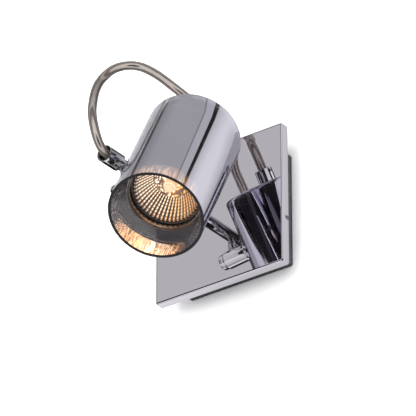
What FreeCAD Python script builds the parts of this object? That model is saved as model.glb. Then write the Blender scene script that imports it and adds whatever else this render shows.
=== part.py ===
import FreeCAD, Part
import math
import os
import re
import Sketcher

# Wall spotlight: a mirrored glass head on a pivot barrel under a stem, with a flex looped from the
# head's rear end to the stem's free end. Wall plane at Y = 0, room at -Y, up +Z, right +X.
# The origin is the centre of the back box's wall face.

Vector = FreeCAD.Vector
X_AXIS, Y_AXIS, Z_AXIS = Vector(1, 0, 0), Vector(0, 1, 0), Vector(0, 0, 1)
DOC = FreeCAD.newDocument("wall_spotlight")
SHEET = DOC.addObject("Spreadsheet::Sheet", "sizes")

SIZES = (
    ("plate_side", 110.0, "mirror plate, side of the square"),
    ("plate_depth", 7.0, "mirror plate, depth of the folded edge"),
    ("plate_gauge", 1.5, "mirror plate, sheet thickness"),
    ("plate_round", 1.6, "mirror plate, outer bend radius"),
    ("stand_off", 27.0, "wall to the front of the mirror plate"),
    ("box_margin", 11.0, "back box, in from the mirror plate's edges"),
    ("box_gauge", 1.2, "back box, sheet thickness"),
    ("box_round", 1.5, "back box, corner radius"),
    ("slot_spacing", 60.0, "fixing slots, centre distance"),
    ("slot_width", 5.2, "fixing slots, width"),
    ("slot_length", 14.0, "fixing slots, length over all"),
    ("entry_width", 20.0, "cable entry, hole diameter"),
    ("entry_drop", 18.0, "cable entry, below the centre"),
    ("grommet_wall", 1.5, "cable entry bush, wall and lip"),
    ("lug_gauge", 1.2, "side lugs, sheet thickness"),
    ("lug_width", 12.0, "side lugs, width"),
    ("lug_leg", 12.0, "side lugs, length on the box's side"),
    ("lug_play", 0.3, "side lugs, clearance to the plate"),
    ("side_screw_drop", 19.0, "side screws, below the centre"),
    ("side_screw_inset", 2.2, "side screws, in from the plate's rear edge"),
    ("side_screw_width", 3.0, "side screws, diameter"),
    ("side_screw_length", 5.5, "side screws, length"),
    ("block_length", 30.0, "terminal block, length"),
    ("block_height", 17.0, "terminal block, height"),
    ("block_depth", 12.0, "terminal block, depth"),
    ("block_rise", 14.0, "terminal block, above the centre"),
    ("pole_pitch", 10.0, "terminal block, pole distance"),
    ("terminal_screw_width", 3.4, "terminal screws, diameter"),
    ("terminal_screw_length", 5.0, "terminal screws, length"),
    ("earth_screw_width", 4.0, "earth screw, diameter"),
    ("earth_reach", 24.0, "earth screw, left of the centre"),
    ("stem_inset", 20.0, "stem axis, in from the plate's left edge"),
    ("stem_drop", 33.8, "stem axis, below the plate's top edge"),
    ("stem_width", 9.0, "stem tube, outer diameter"),
    ("stem_bore", 6.6, "stem tube, bore"),
    ("stem_tail", 12.0, "stem tube, behind the plate's front"),
    ("stem_reach", 73.0, "stem tube, in front of the plate's front"),
    ("turn_play", 0.05, "running fits, radial clearance"),
    ("bush_width", 11.4, "stem bush, shank diameter"),
    ("bush_flange_width", 17.0, "stem bush, flange diameter"),
    ("bush_flange", 2.5, "stem bush, flange thickness"),
    ("bush_tail", 7.6, "stem bush, behind the plate's front"),
    ("bush_nut_flats", 15.0, "bush nut, across flats"),
    ("bush_nut_length", 3.5, "bush nut, thickness"),
    ("bush_washer_gauge", 0.8, "bush washer, thickness"),
    ("clip_gauge", 1.0, "stem clip, thickness"),
    ("clip_groove", 0.6, "stem clip, groove depth"),
    ("friction_gauge", 0.8, "stem friction washer, thickness"),
    ("socket_width", 12.6, "cable socket, diameter"),
    ("socket_length", 16.7, "cable socket, length"),
    ("socket_lap", 4.0, "cable socket, seat on the stem"),
    ("socket_web", 1.8, "cable socket, shoulder thickness"),
    ("socket_bore", 9.4, "cable socket, bore at the mouth"),
    ("socket_flare", 1.0, "cable socket, flare of the mouth"),
    ("socket_edge", 0.5, "cable socket, edge chamfers"),
    ("socket_web_bore", 4.6, "cable socket, wire hole in the shoulder"),
    ("grub_width", 3.0, "grub screws, diameter"),
    ("grub_sink", 0.3, "grub screws, below the surface"),
    ("bushing_length", 4.5, "cable bushing, length"),
    ("bushing_wall", 1.3, "cable bushing, wall"),
    ("swivel_rest", 6.0, "turn of the arm about the stem, degrees"),
    ("tilt_rest", 31.4, "lean of the head towards the wall, degrees"),
    ("pivot_back", 9.8, "barrel axis, behind the stem's end"),
    ("pivot_drop", 18.5, "barrel axis, below the stem axis"),
    ("pivot_reach", 48.7, "head axis, right of the stem axis"),
    ("barrel_width", 13.0, "pivot barrel, diameter"),
    ("barrel_overhang", 5.0, "pivot barrel, past the stem axis"),
    ("barrel_chamfer", 0.5, "pivot barrel, edge chamfer"),
    ("neck_width", 6.0, "pivot neck, diameter"),
    ("axle_width", 6.0, "pivot bolt, shank diameter"),
    ("cap_width", 11.6, "cap nut, diameter"),
    ("cap_length", 4.3, "cap nut, length"),
    ("cap_round", 1.4, "cap nut, edge radius"),
    ("band_width", 0.5, "cap nut, groove width"),
    ("band_depth", 0.35, "cap nut, groove depth"),
    ("cap_washer_gauge", 0.6, "cap washer, thickness"),
    ("bolt_flats", 10.0, "pivot bolt, head across flats"),
    ("bolt_head", 3.6, "pivot bolt, head height"),
    ("saddle_width", 15.0, "shade saddle, diameter"),
    ("saddle_gauge", 2.2, "shade saddle, thickness on the axis"),
    ("shim_gauge", 2.4, "can shim, thickness on the axis"),
    ("shade_length", 109.0, "glass, length"),
    ("shade_wall", 2.2, "glass, wall"),
    ("shade_floor", 2.5, "glass, rear wall"),
    ("shade_round", 4.5, "glass, outer rear corner radius"),
    ("pivot_depth", 72.7, "barrel axis, behind the glass's front rim"),
    ("glass_play", 0.3, "holes in the glass and the can, radial clearance"),
    ("can_gap", 4.45, "can to glass, radial gap"),
    ("can_rear_gap", 6.5, "can to glass, gap at the rear"),
    ("can_wall", 1.2, "can, wall"),
    ("shade_screw_level", 5.3, "glass screw, above the tilt axle towards the rear"),
    ("can_play", 1.1, "can to lamp rim, radial gap"),
    ("can_lip", 3.6, "can, front edge ahead of the lamp"),
    ("vent_width", 5.0, "can, vent hole diameter"),
    ("vent_circle", 38.0, "can, vent hole circle diameter"),
    ("bezel_height", 1.3, "bezel, height of the visible ring"),
    ("bezel_lip", 4.6, "bezel, length inside the can"),
    ("bezel_play", 0.3, "bezel to lamp rim, radial gap"),
    ("bezel_edge", 0.4, "bezel, edge chamfer"),
    ("lamp_width", 49.4, "lamp, rim diameter"),
    ("lamp_rim", 2.6, "lamp, rim height"),
    ("lamp_shell", 1.6, "lamp, glass thickness"),
    ("mirror_rim", 1.4, "lamp mirror, mouth in from the rim"),
    ("mirror_throat", 12.0, "lamp mirror, throat diameter"),
    ("mirror_foot", 2.53, "lamp mirror, apex ahead of the lamp's base"),
    ("cover_gauge", 1.2, "lamp cover, thickness"),
    ("cover_play", 0.1, "lamp cover, radial clearance"),
    ("cover_rim", 0.7, "lamp cover, rim of the lamp around it"),
    ("burner_width", 9.0, "burner, diameter"),
    ("burner_tip", 6.5, "burner, tip behind the lamp's front"),
    ("burner_foot", 7.0, "burner, length of its pinched foot"),
    ("neck_bore", 10.0, "lamp neck, bore"),
    ("neck_seat", 5.0, "lamp neck, depth in the base"),
    ("base_width", 25.0, "lamp base, diameter"),
    ("base_length", 17.0, "lamp base, length"),
    ("base_taper", 2.5, "lamp base, taper at its front"),
    ("lamp_length", 47.6, "lamp, front rim to base end"),
    ("pin_spacing", 10.0, "lamp pins, centre distance"),
    ("pin_width", 5.0, "lamp pins, head diameter"),
    ("pin_shank", 3.2, "lamp pins, shank diameter"),
    ("pin_length", 7.0, "lamp pins, length"),
    ("pin_play", 0.3, "lamp pins in the holder, radial clearance"),
    ("holder_width", 27.0, "lamp holder, diameter"),
    ("holder_length", 13.0, "lamp holder, length"),
    ("strap_gauge", 1.0, "holder bracket, sheet thickness"),
    ("strap_width", 12.0, "holder bracket, width"),
    ("strap_span", 31.0, "holder bracket, over its legs"),
    ("strap_height", 8.6, "holder bracket, height"),
    ("strap_lip", 7.5, "holder bracket, length of the turned-in ends"),
    ("holder_screw_spacing", 21.0, "holder screws, centre distance"),
    ("nipple_width", 10.0, "rear nipple, diameter"),
    ("nipple_bore", 5.2, "rear nipple, bore"),
    ("nipple_out", 6.7, "rear nipple, past the glass"),
    ("nipple_tail", 0.8, "rear nipple, past its nut"),
    ("spacer_wall", 3.0, "rear spacer, wall"),
    ("nipple_nut_flats", 14.0, "nipple nut, across flats"),
    ("nipple_nut_length", 3.5, "nipple nut, thickness"),
    ("gasket_width", 18.0, "inner rear gasket, diameter"),
    ("gasket_gauge", 0.8, "rear gaskets, thickness"),
    ("gland_width", 12.6, "gland, diameter"),
    ("gland_length", 12.0, "gland, past the glass"),
    ("gland_edge", 0.8, "gland, outer edge chamfer"),
    ("mouth_edge", 0.5, "gland, bore edge chamfer"),
    ("cord_width", 6.4, "flex, diameter"),
    ("cord_play", 0.1, "flex in its bores, radial clearance"),
    ("gland_lead", 13.4, "flex, first turn past the gland"),
    ("socket_tuck", 1.2, "flex, last turn inside the socket's mouth"),
    ("loop_unit", 1.0, "flex, length of one step in the list of its middle points"),
    ("seat_play", 0.05, "screws in their holes, radial clearance"),
)

NAMES = {alias for alias, value, note in SIZES}
for row, (alias, value, note) in enumerate(SIZES, 1):
    SHEET.set("A%d" % row, note)
    SHEET.set("B%d" % row, str(value))
    SHEET.setAlias("B%d" % row, alias)
DOC.recompute()

NODES = []


# Expressions: text with the names of the sheet's sizes
def bound(text):
    def full_name(word):
        return "sizes." + word.group() if word.group() in NAMES else word.group()

    return re.sub(r"[a-z][a-z_]*", full_name, str(text))


def number(text):
    return float(SHEET.evalExpression(bound(text)))


def bind(thing, name, text):
    thing.setExpression(name, bound(text))


# Sketches
def new_body(label, node=True):
    body = DOC.addObject("PartDesign::Body", label)
    body.Label = label
    if node:
        NODES.append(body)
    return body


def new_sketch(body, plane, lift="0"):
    sketch = body.newObject("Sketcher::SketchObject", body.Name + "_sketch")
    sketch.AttachmentSupport = [(next(item for item in body.Origin.OriginFeatures if item.Role == plane), "")]
    sketch.MapMode = "FlatFace"
    bind(sketch, "AttachmentOffset.Base.z", lift)
    return sketch


def hold(sketch, kind, *rest):
    index = sketch.addConstraint(Sketcher.Constraint(kind, *rest[:-1], number(rest[-1])))
    bind(sketch, "Constraints[%d]" % index, rest[-1])


def place_point(sketch, geometry, position, x, y):
    hold(sketch, "DistanceX", -1, 1, geometry, position, x)
    hold(sketch, "DistanceY", -1, 1, geometry, position, y)


def outline(sketch, corners):
    first = sketch.GeometryCount
    points = [Vector(number(x), number(y), 0) for x, y in corners]
    for index, point in enumerate(points):
        sketch.addGeometry(Part.LineSegment(point, points[(index + 1) % len(points)]))
    for index, (x, y) in enumerate(corners):
        following = first + (index + 1) % len(points)
        sketch.addConstraint(Sketcher.Constraint("Coincident", first + index, 2, following, 1))
        place_point(sketch, first + index, 1, x, y)


def rectangle(sketch, x, y, width, height):
    left, right = f"{x} - {width} / 2", f"{x} + {width} / 2"
    low, high = f"{y} - {height} / 2", f"{y} + {height} / 2"
    outline(sketch, ((left, low), (right, low), (right, high), (left, high)))


def ring(sketch, x, y, radius):
    index = sketch.addGeometry(Part.Circle(Vector(number(x), number(y), 0), Vector(0, 0, 1), number(radius)))
    hold(sketch, "Radius", index, radius)
    place_point(sketch, index, 3, x, y)


def long_hole(sketch, x, y, length, width):
    reach, radius = number(f"({length} - {width}) / 2"), number(f"{width} / 2")
    centre = Vector(number(x), number(y), 0)
    rise, run, quarter = Vector(0, radius, 0), Vector(reach, 0, 0), math.pi / 2
    top = sketch.addGeometry(Part.LineSegment(centre - run + rise, centre + run + rise))
    low = sketch.addGeometry(Part.LineSegment(centre + run - rise, centre - run - rise))
    right_round = Part.Circle(centre + run, Z_AXIS, radius)
    left_round = Part.Circle(centre - run, Z_AXIS, radius)
    right = sketch.addGeometry(Part.ArcOfCircle(right_round, -quarter, quarter))
    left = sketch.addGeometry(Part.ArcOfCircle(left_round, quarter, 3 * quarter))
    joins = ((top, 2, right, 2), (right, 1, low, 1), (low, 2, left, 2), (left, 1, top, 1))
    for one, end, two, start in joins:
        sketch.addConstraint(Sketcher.Constraint("Coincident", one, end, two, start))
    for arc, side in ((right, "+"), (left, "-")):
        hold(sketch, "Radius", arc, f"{width} / 2")
        place_point(sketch, arc, 3, f"{x} {side} ({length} - {width}) / 2", y)
        for end in (1, 2):
            sketch.addConstraint(Sketcher.Constraint("Vertical", arc, 3, arc, end))


def hexagon(sketch, flats):
    half, side = f"({flats} / 2)", f"({flats} / sqrt(3))"
    outline(sketch, (
        (side, "0"), (f"{side} / 2", half), (f"-{side} / 2", half),
        (f"-{side}", "0"), (f"-{side} / 2", f"-{half}"), (f"{side} / 2", f"-{half}"),
    ))


# Features
def pad(body, sketch, length, away=False):
    feature = body.newObject("PartDesign::Pad", body.Name + "_pad")
    feature.Profile = sketch
    feature.Reversed = away
    bind(feature, "Length", length)
    DOC.recompute()
    return feature


def pocket(body, sketch, length, away=False):
    before = body.Shape.Volume
    feature = body.newObject("PartDesign::Pocket", body.Name + "_pocket")
    feature.Profile = sketch
    feature.Reversed = away
    bind(feature, "Length", length)
    DOC.recompute()
    if body.Shape.Volume >= before:
        raise ValueError("a pocket of %s cuts nothing" % body.Label)
    return feature


def revolve(body, corners):
    sketch = new_sketch(body, "XZ_Plane")
    outline(sketch, corners)
    feature = body.newObject("PartDesign::Revolution", body.Name + "_turned")
    feature.Profile = sketch
    feature.ReferenceAxis = (sketch, ["V_Axis"])
    feature.Angle = 360
    DOC.recompute()
    return feature


def dress(body, kind, edges, size_name, size):
    names = ["Edge%d" % (index + 1) for index, edge in enumerate(body.Shape.Edges) if edges(edge)]
    if not names:
        raise ValueError("no edge to dress on %s" % body.Label)
    feature = body.newObject("PartDesign::" + kind, body.Name + "_edges")
    feature.Base = (body.Tip, names) if feature != body.Tip else (body.Group[-2], names)
    bind(feature, size_name, size)
    DOC.recompute()


def circle_at(radius, height):
    def test(edge):
        curve = edge.Curve
        if curve.TypeId != "Part::GeomCircle":
            return False
        return math.isclose(curve.Radius, number(radius), abs_tol=1e-4) and \
            math.isclose(curve.Center.z, number(height), abs_tol=1e-4)
    return test


def turned(label, corners, node=True):
    body = new_body(label, node)
    revolve(body, corners)
    return body


def washer(label, bore, width, low, high, node=True):
    return turned(label, ((bore, low), (width, low), (width, high), (bore, high)), node)


def solid_disc(label, radius, low, high, node=True):
    return turned(label, (("0", low), (radius, low), (radius, high), ("0", high)), node)


def nut(label, flats, bore, low, high):
    body = new_body(label)
    sketch = new_sketch(body, "XY_Plane", low)
    hexagon(sketch, flats)
    ring(sketch, "0", "0", bore)
    pad(body, sketch, f"{high} - ({low})")
    return body


def grub(label, width, length):
    body = solid_disc(label, f"{width} / 2", f"-{length}", "0", node=False)
    sketch = new_sketch(body, "XY_Plane")
    hexagon(sketch, f"{width} * 0.5")
    pocket(body, sketch, f"{length} * 0.45")
    return body


def gathered(label, members):
    group = DOC.addObject("Part::Compound", label)
    group.Label = label
    group.Links = members
    NODES.append(group)
    return group


# Frames: each turned piece is drawn about its own Z axis and then set into its frame

def frame(position=Vector(), *turns):
    placement = FreeCAD.Placement(position, FreeCAD.Rotation())
    for axis, angle in turns:
        placement = placement * FreeCAD.Placement(Vector(), FreeCAD.Rotation(axis, angle))
    return placement


def shifted(base, x, y, z):
    return base * FreeCAD.Placement(Vector(number(x), number(y), number(z)), FreeCAD.Rotation())


def put(thing, placement):
    thing.Placement = placement
    return thing


# Wall: origin in the wall plane. Plate: origin in the centre of the mirror plate's front.
WALL = frame()
PLATE = frame(Vector(0, -number("stand_off"), 0))
# Arm: origin where the stem's axis meets the plate's front, X along the barrel, Y to the wall.
STEM_X = "(stem_inset - plate_side / 2)"
STEM_Z = "(plate_side / 2 - stem_drop)"
PIVOT_OUT = "(stem_reach - pivot_back)"
ARM = shifted(PLATE, STEM_X, "0", STEM_Z) * frame(Vector(), (Y_AXIS, -number("swivel_rest")))
# Stem: Z along the stem, out of the wall.
STEM = ARM * frame(Vector(), (X_AXIS, 90))
# Head: origin on the tilt axis, X along the barrel, Z from the glass's open front to its closed rear.
HEAD = ARM * frame(Vector(number("pivot_reach"), -number(PIVOT_OUT), -number("pivot_drop")),
                   (X_AXIS, -number("tilt_rest")))
# Pivot: origin of the head, Z outwards along the barrel, X along the head's axis to its front.
PIVOT = HEAD * frame(Vector(), (Y_AXIS, -90))

# Radii and levels that several pieces share
BOX_HALF = "(plate_side / 2 - box_margin)"
BOX_SIDE = "(plate_side - 2 * box_margin)"
STEM_R = "(stem_width / 2)"
BUSH_R = "(bush_width / 2)"
CAN_BORE_R = "(lamp_width / 2 + can_play)"
CAN_R = "(lamp_width / 2 + can_play + can_wall)"
SHADE_BORE_R = "(lamp_width / 2 + can_play + can_wall + can_gap)"
SHADE_R = "(lamp_width / 2 + can_play + can_wall + can_gap + shade_wall)"
AXLE_R = "(axle_width / 2)"
NIPPLE_R = "(nipple_width / 2)"
CORD_R = "(cord_width / 2)"
SOCKET_END = "(stem_reach - socket_lap + socket_length)"
CORD_SEAT = "(stem_reach + socket_web)"
SADDLE_TOP = f"({SHADE_R} + saddle_gauge)"
BARREL_END = "(pivot_reach + barrel_overhang)"
CAP_FOOT = "(pivot_reach + barrel_overhang + cap_washer_gauge)"
SHADE_FRONT = "(-pivot_depth)"
SHADE_REAR = "(shade_length - pivot_depth)"
CAN_REAR = f"({SHADE_REAR} - shade_floor - can_rear_gap)"
HOLDER_END = f"({CAN_REAR} - can_wall - strap_height)"
LAMP_END = f"({HOLDER_END} - holder_length)"
BASE_FRONT = f"({LAMP_END} - base_length)"
LAMP_FRONT = f"({LAMP_END} - lamp_length)"
CAN_FRONT = f"({LAMP_FRONT} - can_lip)"
MIRROR_R = "(lamp_width / 2 - mirror_rim)"
MIRROR_MOUTH = f"({LAMP_FRONT} + cover_gauge)"
COVER_SEAT_R = "(lamp_width / 2 - cover_rim)"
GASKET_FOOT = "(shade_length - pivot_depth - shade_floor - gasket_gauge)"
GLAND_FOOT = "(shade_length - pivot_depth + gasket_gauge)"
NIPPLE_END = "(shade_length - pivot_depth + nipple_out)"
GLAND_END = "(shade_length - pivot_depth + gland_length)"


def mirror_level(radius):
    apex = f"({BASE_FRONT} - mirror_foot)"
    return f"({apex} - ({apex} - {MIRROR_MOUTH}) * ({radius})^2 / {MIRROR_R}^2)"


# Back box: a folded tray with its open side to the room
def make_wall_box():
    body = new_body("wall_box")
    depth = "(stand_off - plate_gauge)"
    sketch = new_sketch(body, "XZ_Plane")
    rectangle(sketch, "0", "0", BOX_SIDE, BOX_SIDE)
    pad(body, sketch, depth)
    along_depth = lambda edge: abs(edge.tangentAt(edge.FirstParameter).y) > 0.99
    dress(body, "Fillet", along_depth, "Radius", "box_round")
    inside = new_sketch(body, "XZ_Plane", "box_gauge")
    rectangle(inside, "0", "0", f"({BOX_SIDE} - 2 * box_gauge)", f"({BOX_SIDE} - 2 * box_gauge)")
    pocket(body, inside, depth, away=True)
    holes = new_sketch(body, "XZ_Plane")
    ring(holes, "0", "-entry_drop", "entry_width / 2")
    for side in ("-", ""):
        long_hole(holes, f"{side}slot_spacing / 2", "0", "slot_length", "slot_width")
    pocket(body, holes, "box_gauge", away=True)
    return put(body, WALL)


# Mirror plate: a folded pan with rounded outer bends, a stem hole and two side notches
def make_canopy_plate():
    body = new_body("canopy_plate")
    sketch = new_sketch(body, "XZ_Plane", "-plate_depth")
    rectangle(sketch, "0", "0", "plate_side", "plate_side")
    pad(body, sketch, "plate_depth")
    not_rear = lambda edge: edge.BoundBox.YMin < number("plate_depth") - 1e-3
    dress(body, "Fillet", not_rear, "Radius", "plate_round")
    inside = new_sketch(body, "XZ_Plane", "-plate_depth")
    rectangle(inside, "0", "0", "(plate_side - 2 * plate_gauge)", "(plate_side - 2 * plate_gauge)")
    pocket(body, inside, "plate_depth - plate_gauge", away=True)
    hole = new_sketch(body, "XZ_Plane")
    ring(hole, STEM_X, STEM_Z, f"{BUSH_R} + seat_play")
    pocket(body, hole, "plate_gauge")
    notch = new_sketch(body, "YZ_Plane", "-plate_side / 2")
    width = "(side_screw_width + 6 * seat_play)"
    depth = f"(side_screw_inset + {width} / 2)"
    rectangle(notch, f"plate_depth - {depth} / 2", "-side_screw_drop", depth, width)
    pocket(body, notch, "plate_side", away=True)
    return put(body, PLATE)


# Side lugs: strips bent out from the box's sides to the inside of the plate's folded edge
def make_canopy_lugs():
    lugs = []
    inner, outer = BOX_HALF, "(plate_side / 2 - plate_gauge - lug_play)"
    front, foot = "(plate_gauge + lug_play)", "(plate_gauge + lug_leg)"
    for side in ("", "-"):
        body = new_body("canopy_lug", node=False)
        sketch = new_sketch(body, "XY_Plane", "-side_screw_drop - lug_width / 2")
        profile = (
            (inner, front), (outer, front), (outer, "plate_depth"), (f"{outer} - lug_gauge", "plate_depth"),
            (f"{outer} - lug_gauge", f"{front} + lug_gauge"),
            (f"{inner} + lug_gauge", f"{front} + lug_gauge"),
            (f"{inner} + lug_gauge", foot), (inner, foot),
        )
        outline(sketch, [(f"{side}({x})", y) for x, y in profile])
        pad(body, sketch, "lug_width")
        hole = new_sketch(body, "YZ_Plane")
        ring(hole, "plate_depth - side_screw_inset", "-side_screw_drop", "side_screw_width / 2 + seat_play")
        pocket(body, hole, "plate_side", away=side == "")
        lugs.append(put(body, PLATE))
    return gathered("canopy_lugs", lugs)


def make_canopy_screws():
    screws = []
    for turn, side in ((90, ""), (-90, "-")):
        body = grub("canopy_screw", "side_screw_width", "side_screw_length")
        reach = f"{side}(plate_side / 2 - grub_sink)"
        base = shifted(PLATE, reach, "plate_depth - side_screw_inset", "-side_screw_drop")
        screws.append(put(body, base * frame(Vector(), (Y_AXIS, turn))))
    return gathered("canopy_screws", screws)


def make_entry_grommet():
    bore, width = "entry_width / 2 - grommet_wall", "entry_width / 2"
    body = turned("entry_grommet", (
        (bore, "0"), (width, "0"), (width, "box_gauge"), (f"{width} + grommet_wall", "box_gauge"),
        (f"{width} + grommet_wall", "box_gauge + grommet_wall * 0.8"),
        (f"{width} + grommet_wall * 0.5", "box_gauge + grommet_wall * 4 / 3"),
        (bore, "box_gauge + grommet_wall * 4 / 3"),
    ))
    return put(body, shifted(WALL, "0", "0", "-entry_drop") * frame(Vector(), (X_AXIS, 90)))


# Terminal block: one moulding with three poles, each with two clamping screws and a wire way
def block_frame(x, z, lift):
    base = shifted(WALL, x, "-box_gauge", f"block_rise + {z}")
    return shifted(base * frame(Vector(), (X_AXIS, 90)), "0", "0", lift)


def screw_seats():
    places = [(column, row) for column in (-1, 0, 1) for row in (-1, 1)]
    return [(f"{column} * pole_pitch", f"{row} * block_height / 4") for column, row in places]


def make_terminal_block():
    body = new_body("terminal_block")
    sketch = new_sketch(body, "XY_Plane")
    rectangle(sketch, "0", "0", "block_length", "block_height")
    pad(body, sketch, "block_depth * 0.6")
    towers = new_sketch(body, "XY_Plane")
    for column in (-1, 0, 1):
        rectangle(towers, f"{column} * pole_pitch", "0", "(pole_pitch * 0.62)", "block_height")
    pad(body, towers, "block_depth")
    holes = new_sketch(body, "XY_Plane", "block_depth")
    for x, y in screw_seats():
        ring(holes, x, y, "terminal_screw_width / 2 + seat_play")
    pocket(body, holes, "block_depth * 0.6")
    ways = new_sketch(body, "XZ_Plane", "-block_height / 2")
    for column in (-1, 0, 1):
        ring(ways, f"{column} * pole_pitch", "block_depth * 0.4", "pole_pitch * 0.15")
    pocket(body, ways, "block_height", away=True)
    fixing = new_sketch(body, "XY_Plane", "block_depth * 0.6")
    ring(fixing, "pole_pitch / 2", "0", "terminal_screw_width / 2 * 0.8 + seat_play")
    pocket(body, fixing, "block_depth * 0.6")
    return put(body, block_frame("0", "0", "0"))


def make_terminal_screws():
    screws = []
    for x, z in screw_seats():
        body = grub("terminal_clamp", "terminal_screw_width", "terminal_screw_length")
        screws.append(put(body, block_frame(x, z, "block_depth - 2 * grub_sink")))
    return gathered("terminal_screws", screws)


def pan_screw(label, width, shank, head_width, head_height, node=True):
    body = turned(label, (
        ("0", f"-{shank}"), (f"{width} / 2", f"-{shank}"), (f"{width} / 2", "0"), (f"{head_width} / 2", "0"),
        (f"{head_width} / 2", f"{head_height} * 0.6"), (f"{head_width} * 0.36", head_height),
        ("0", head_height),
    ), node)
    slot = new_sketch(body, "XY_Plane", head_height)
    rectangle(slot, "0", "0", f"({head_width} * 1.1)", f"({head_width} * 0.16)")
    pocket(body, slot, f"{head_height} * 0.45")
    return body


def make_terminal_fixing():
    body = pan_screw("terminal_fixing", "terminal_screw_width * 0.8", "(block_depth * 0.6)",
                     "(pole_pitch * 0.34)", "(pole_pitch * 0.16)")
    return put(body, block_frame("pole_pitch / 2", "0", "block_depth * 0.6"))


def make_earth_screw():
    shank = "(earth_screw_width * 1.25)"
    body = pan_screw("earth_screw", "earth_screw_width", shank, "(earth_screw_width * 2)",
                     "(earth_screw_width * 0.65)")
    base = shifted(WALL, "-earth_reach", f"-box_gauge - {shank}", "-entry_drop")
    return put(body, base * frame(Vector(), (X_AXIS, 90)))


# Stem bush: flange in front of the plate, shank through it, nut and toothed washer behind
def make_stem_bush():
    bore = f"{STEM_R} + turn_play"
    flange = "bush_flange_width / 2"
    body = turned("stem_bush", (
        (bore, "-bush_tail"), (BUSH_R, "-bush_tail"), (BUSH_R, "0"), (flange, "0"),
        (flange, "bush_flange * 0.6"), (f"{flange} - bush_flange * 0.4", "bush_flange"),
        (bore, "bush_flange"),
    ))
    return put(body, shifted(PLATE, STEM_X, "0", STEM_Z) * frame(Vector(), (X_AXIS, 90)))


def make_bush_washer():
    body = new_body("bush_washer")
    teeth = 12
    sketch = new_sketch(body, "XY_Plane", "-plate_gauge - bush_washer_gauge")
    ring(sketch, "0", "0", "bush_nut_flats / 2")
    ring(sketch, "0", "0", f"{BUSH_R} + seat_play")
    pad(body, sketch, "bush_washer_gauge")
    gap = new_sketch(body, "XY_Plane", "-plate_gauge")
    rectangle(gap, "bush_nut_flats / 2", "0", "bush_nut_flats / 8", "bush_nut_flats / 9")
    notch = pocket(body, gap, "bush_washer_gauge")
    pattern = body.newObject("PartDesign::PolarPattern", "bush_washer_teeth")
    pattern.Originals = [notch]
    pattern.Axis = (gap, ["N_Axis"])
    pattern.Angle = 360
    pattern.Occurrences = teeth
    body.Tip = pattern
    DOC.recompute()
    return put(body, shifted(PLATE, STEM_X, "0", STEM_Z) * frame(Vector(), (X_AXIS, 90)))


def make_bush_nut():
    high = "(-plate_gauge - bush_washer_gauge)"
    body = nut("bush_nut", "bush_nut_flats", f"{BUSH_R} + seat_play", f"({high} - bush_nut_length)", high)
    return put(body, shifted(PLATE, STEM_X, "0", STEM_Z) * frame(Vector(), (X_AXIS, 90), (Z_AXIS, 30)))


# Stem: tube with a clip groove at its inner end
CLIP_HIGH = "(-bush_tail - friction_gauge)"
CLIP_LOW = "(-bush_tail - friction_gauge - clip_gauge)"
CLIP_R = "(stem_width / 2 - clip_groove)"


def make_stem_tube():
    bore = "stem_bore / 2"
    body = turned("stem_tube", (
        (bore, "-stem_tail"), (STEM_R, "-stem_tail"), (STEM_R, CLIP_LOW), (CLIP_R, CLIP_LOW),
        (CLIP_R, CLIP_HIGH), (STEM_R, CLIP_HIGH), (STEM_R, "stem_reach"), (bore, "stem_reach"),
    ))
    return put(body, STEM)


def make_stem_friction_washer():
    bore, outer = f"{STEM_R} + seat_play", f"{BUSH_R} * 1.08"
    body = washer("stem_friction_washer", bore, outer, CLIP_HIGH, "-bush_tail")
    return put(body, STEM)


def make_stem_clip():
    body = new_body("stem_clip")
    sketch = new_sketch(body, "XY_Plane", CLIP_LOW)
    ring(sketch, "0", "0", f"{STEM_R} + 1.6 * clip_gauge")
    ring(sketch, "0", "0", f"{CLIP_R} + seat_play / 2")
    pad(body, sketch, "clip_gauge")
    gap = new_sketch(body, "XY_Plane", CLIP_HIGH)
    rectangle(gap, STEM_R, "0", "(stem_width * 0.67)", "(stem_width * 0.35)")
    pocket(body, gap, "clip_gauge")
    return put(body, STEM)


# Cable socket: sleeve that laps the stem's end, with a shoulder for the flex and a flared mouth
def make_cable_socket():
    outer, mouth = "socket_width / 2", "socket_bore / 2"
    back = "(stem_reach - socket_lap)"
    body = turned("cable_socket", (
        (STEM_R, back), (f"{outer} - socket_edge", back), (outer, f"{back} + socket_edge"),
        (outer, f"{SOCKET_END} - socket_edge"), (f"{outer} - 0.8 * socket_edge", SOCKET_END),
        (f"{mouth} + socket_flare", SOCKET_END), (mouth, f"{SOCKET_END} - 2 * socket_flare"),
        (mouth, CORD_SEAT), ("socket_web_bore / 2", CORD_SEAT),
        ("socket_web_bore / 2", "stem_reach"), (STEM_R, "stem_reach"),
    ))
    for plane_turn, level in SOCKET_SCREWS:
        drill(body, plane_turn, level, "grub_width / 2 + seat_play", outer)
    return put(body, STEM)


# Radial holes: a sketch plane through the axis, turned about it, and cut outwards
def drill(body, angle, level, radius, reach):
    sketch = new_sketch(body, "YZ_Plane")
    sketch.AttachmentOffset = FreeCAD.Placement(Vector(), FreeCAD.Rotation(Y_AXIS, angle))
    ring(sketch, "0", level, radius)
    pocket(body, sketch, f"{reach} + 1", away=True)


def radial(base, angle, level, reach):
    turn = frame(Vector(0, 0, number(level)), (Z_AXIS, angle), (Y_AXIS, 90))
    return base * turn * frame(Vector(0, 0, number(reach)))


SOCKET_SCREWS = (
    (-45, "(stem_reach + socket_web + bushing_length / 2)"),
    (-90, "(stem_reach - socket_lap / 2)"),
)


def make_socket_screws():
    screws = []
    inner_faces = (f"({CORD_R} + cord_play + bushing_wall)", STEM_R)
    for (angle, level), inner in zip(SOCKET_SCREWS, inner_faces):
        top = "(socket_width / 2 - grub_sink)"
        body = grub("socket_screw", "grub_width", f"({top} - {inner})")
        screws.append(put(body, radial(STEM, angle, level, top)))
    return gathered("socket_screws", screws)


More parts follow.
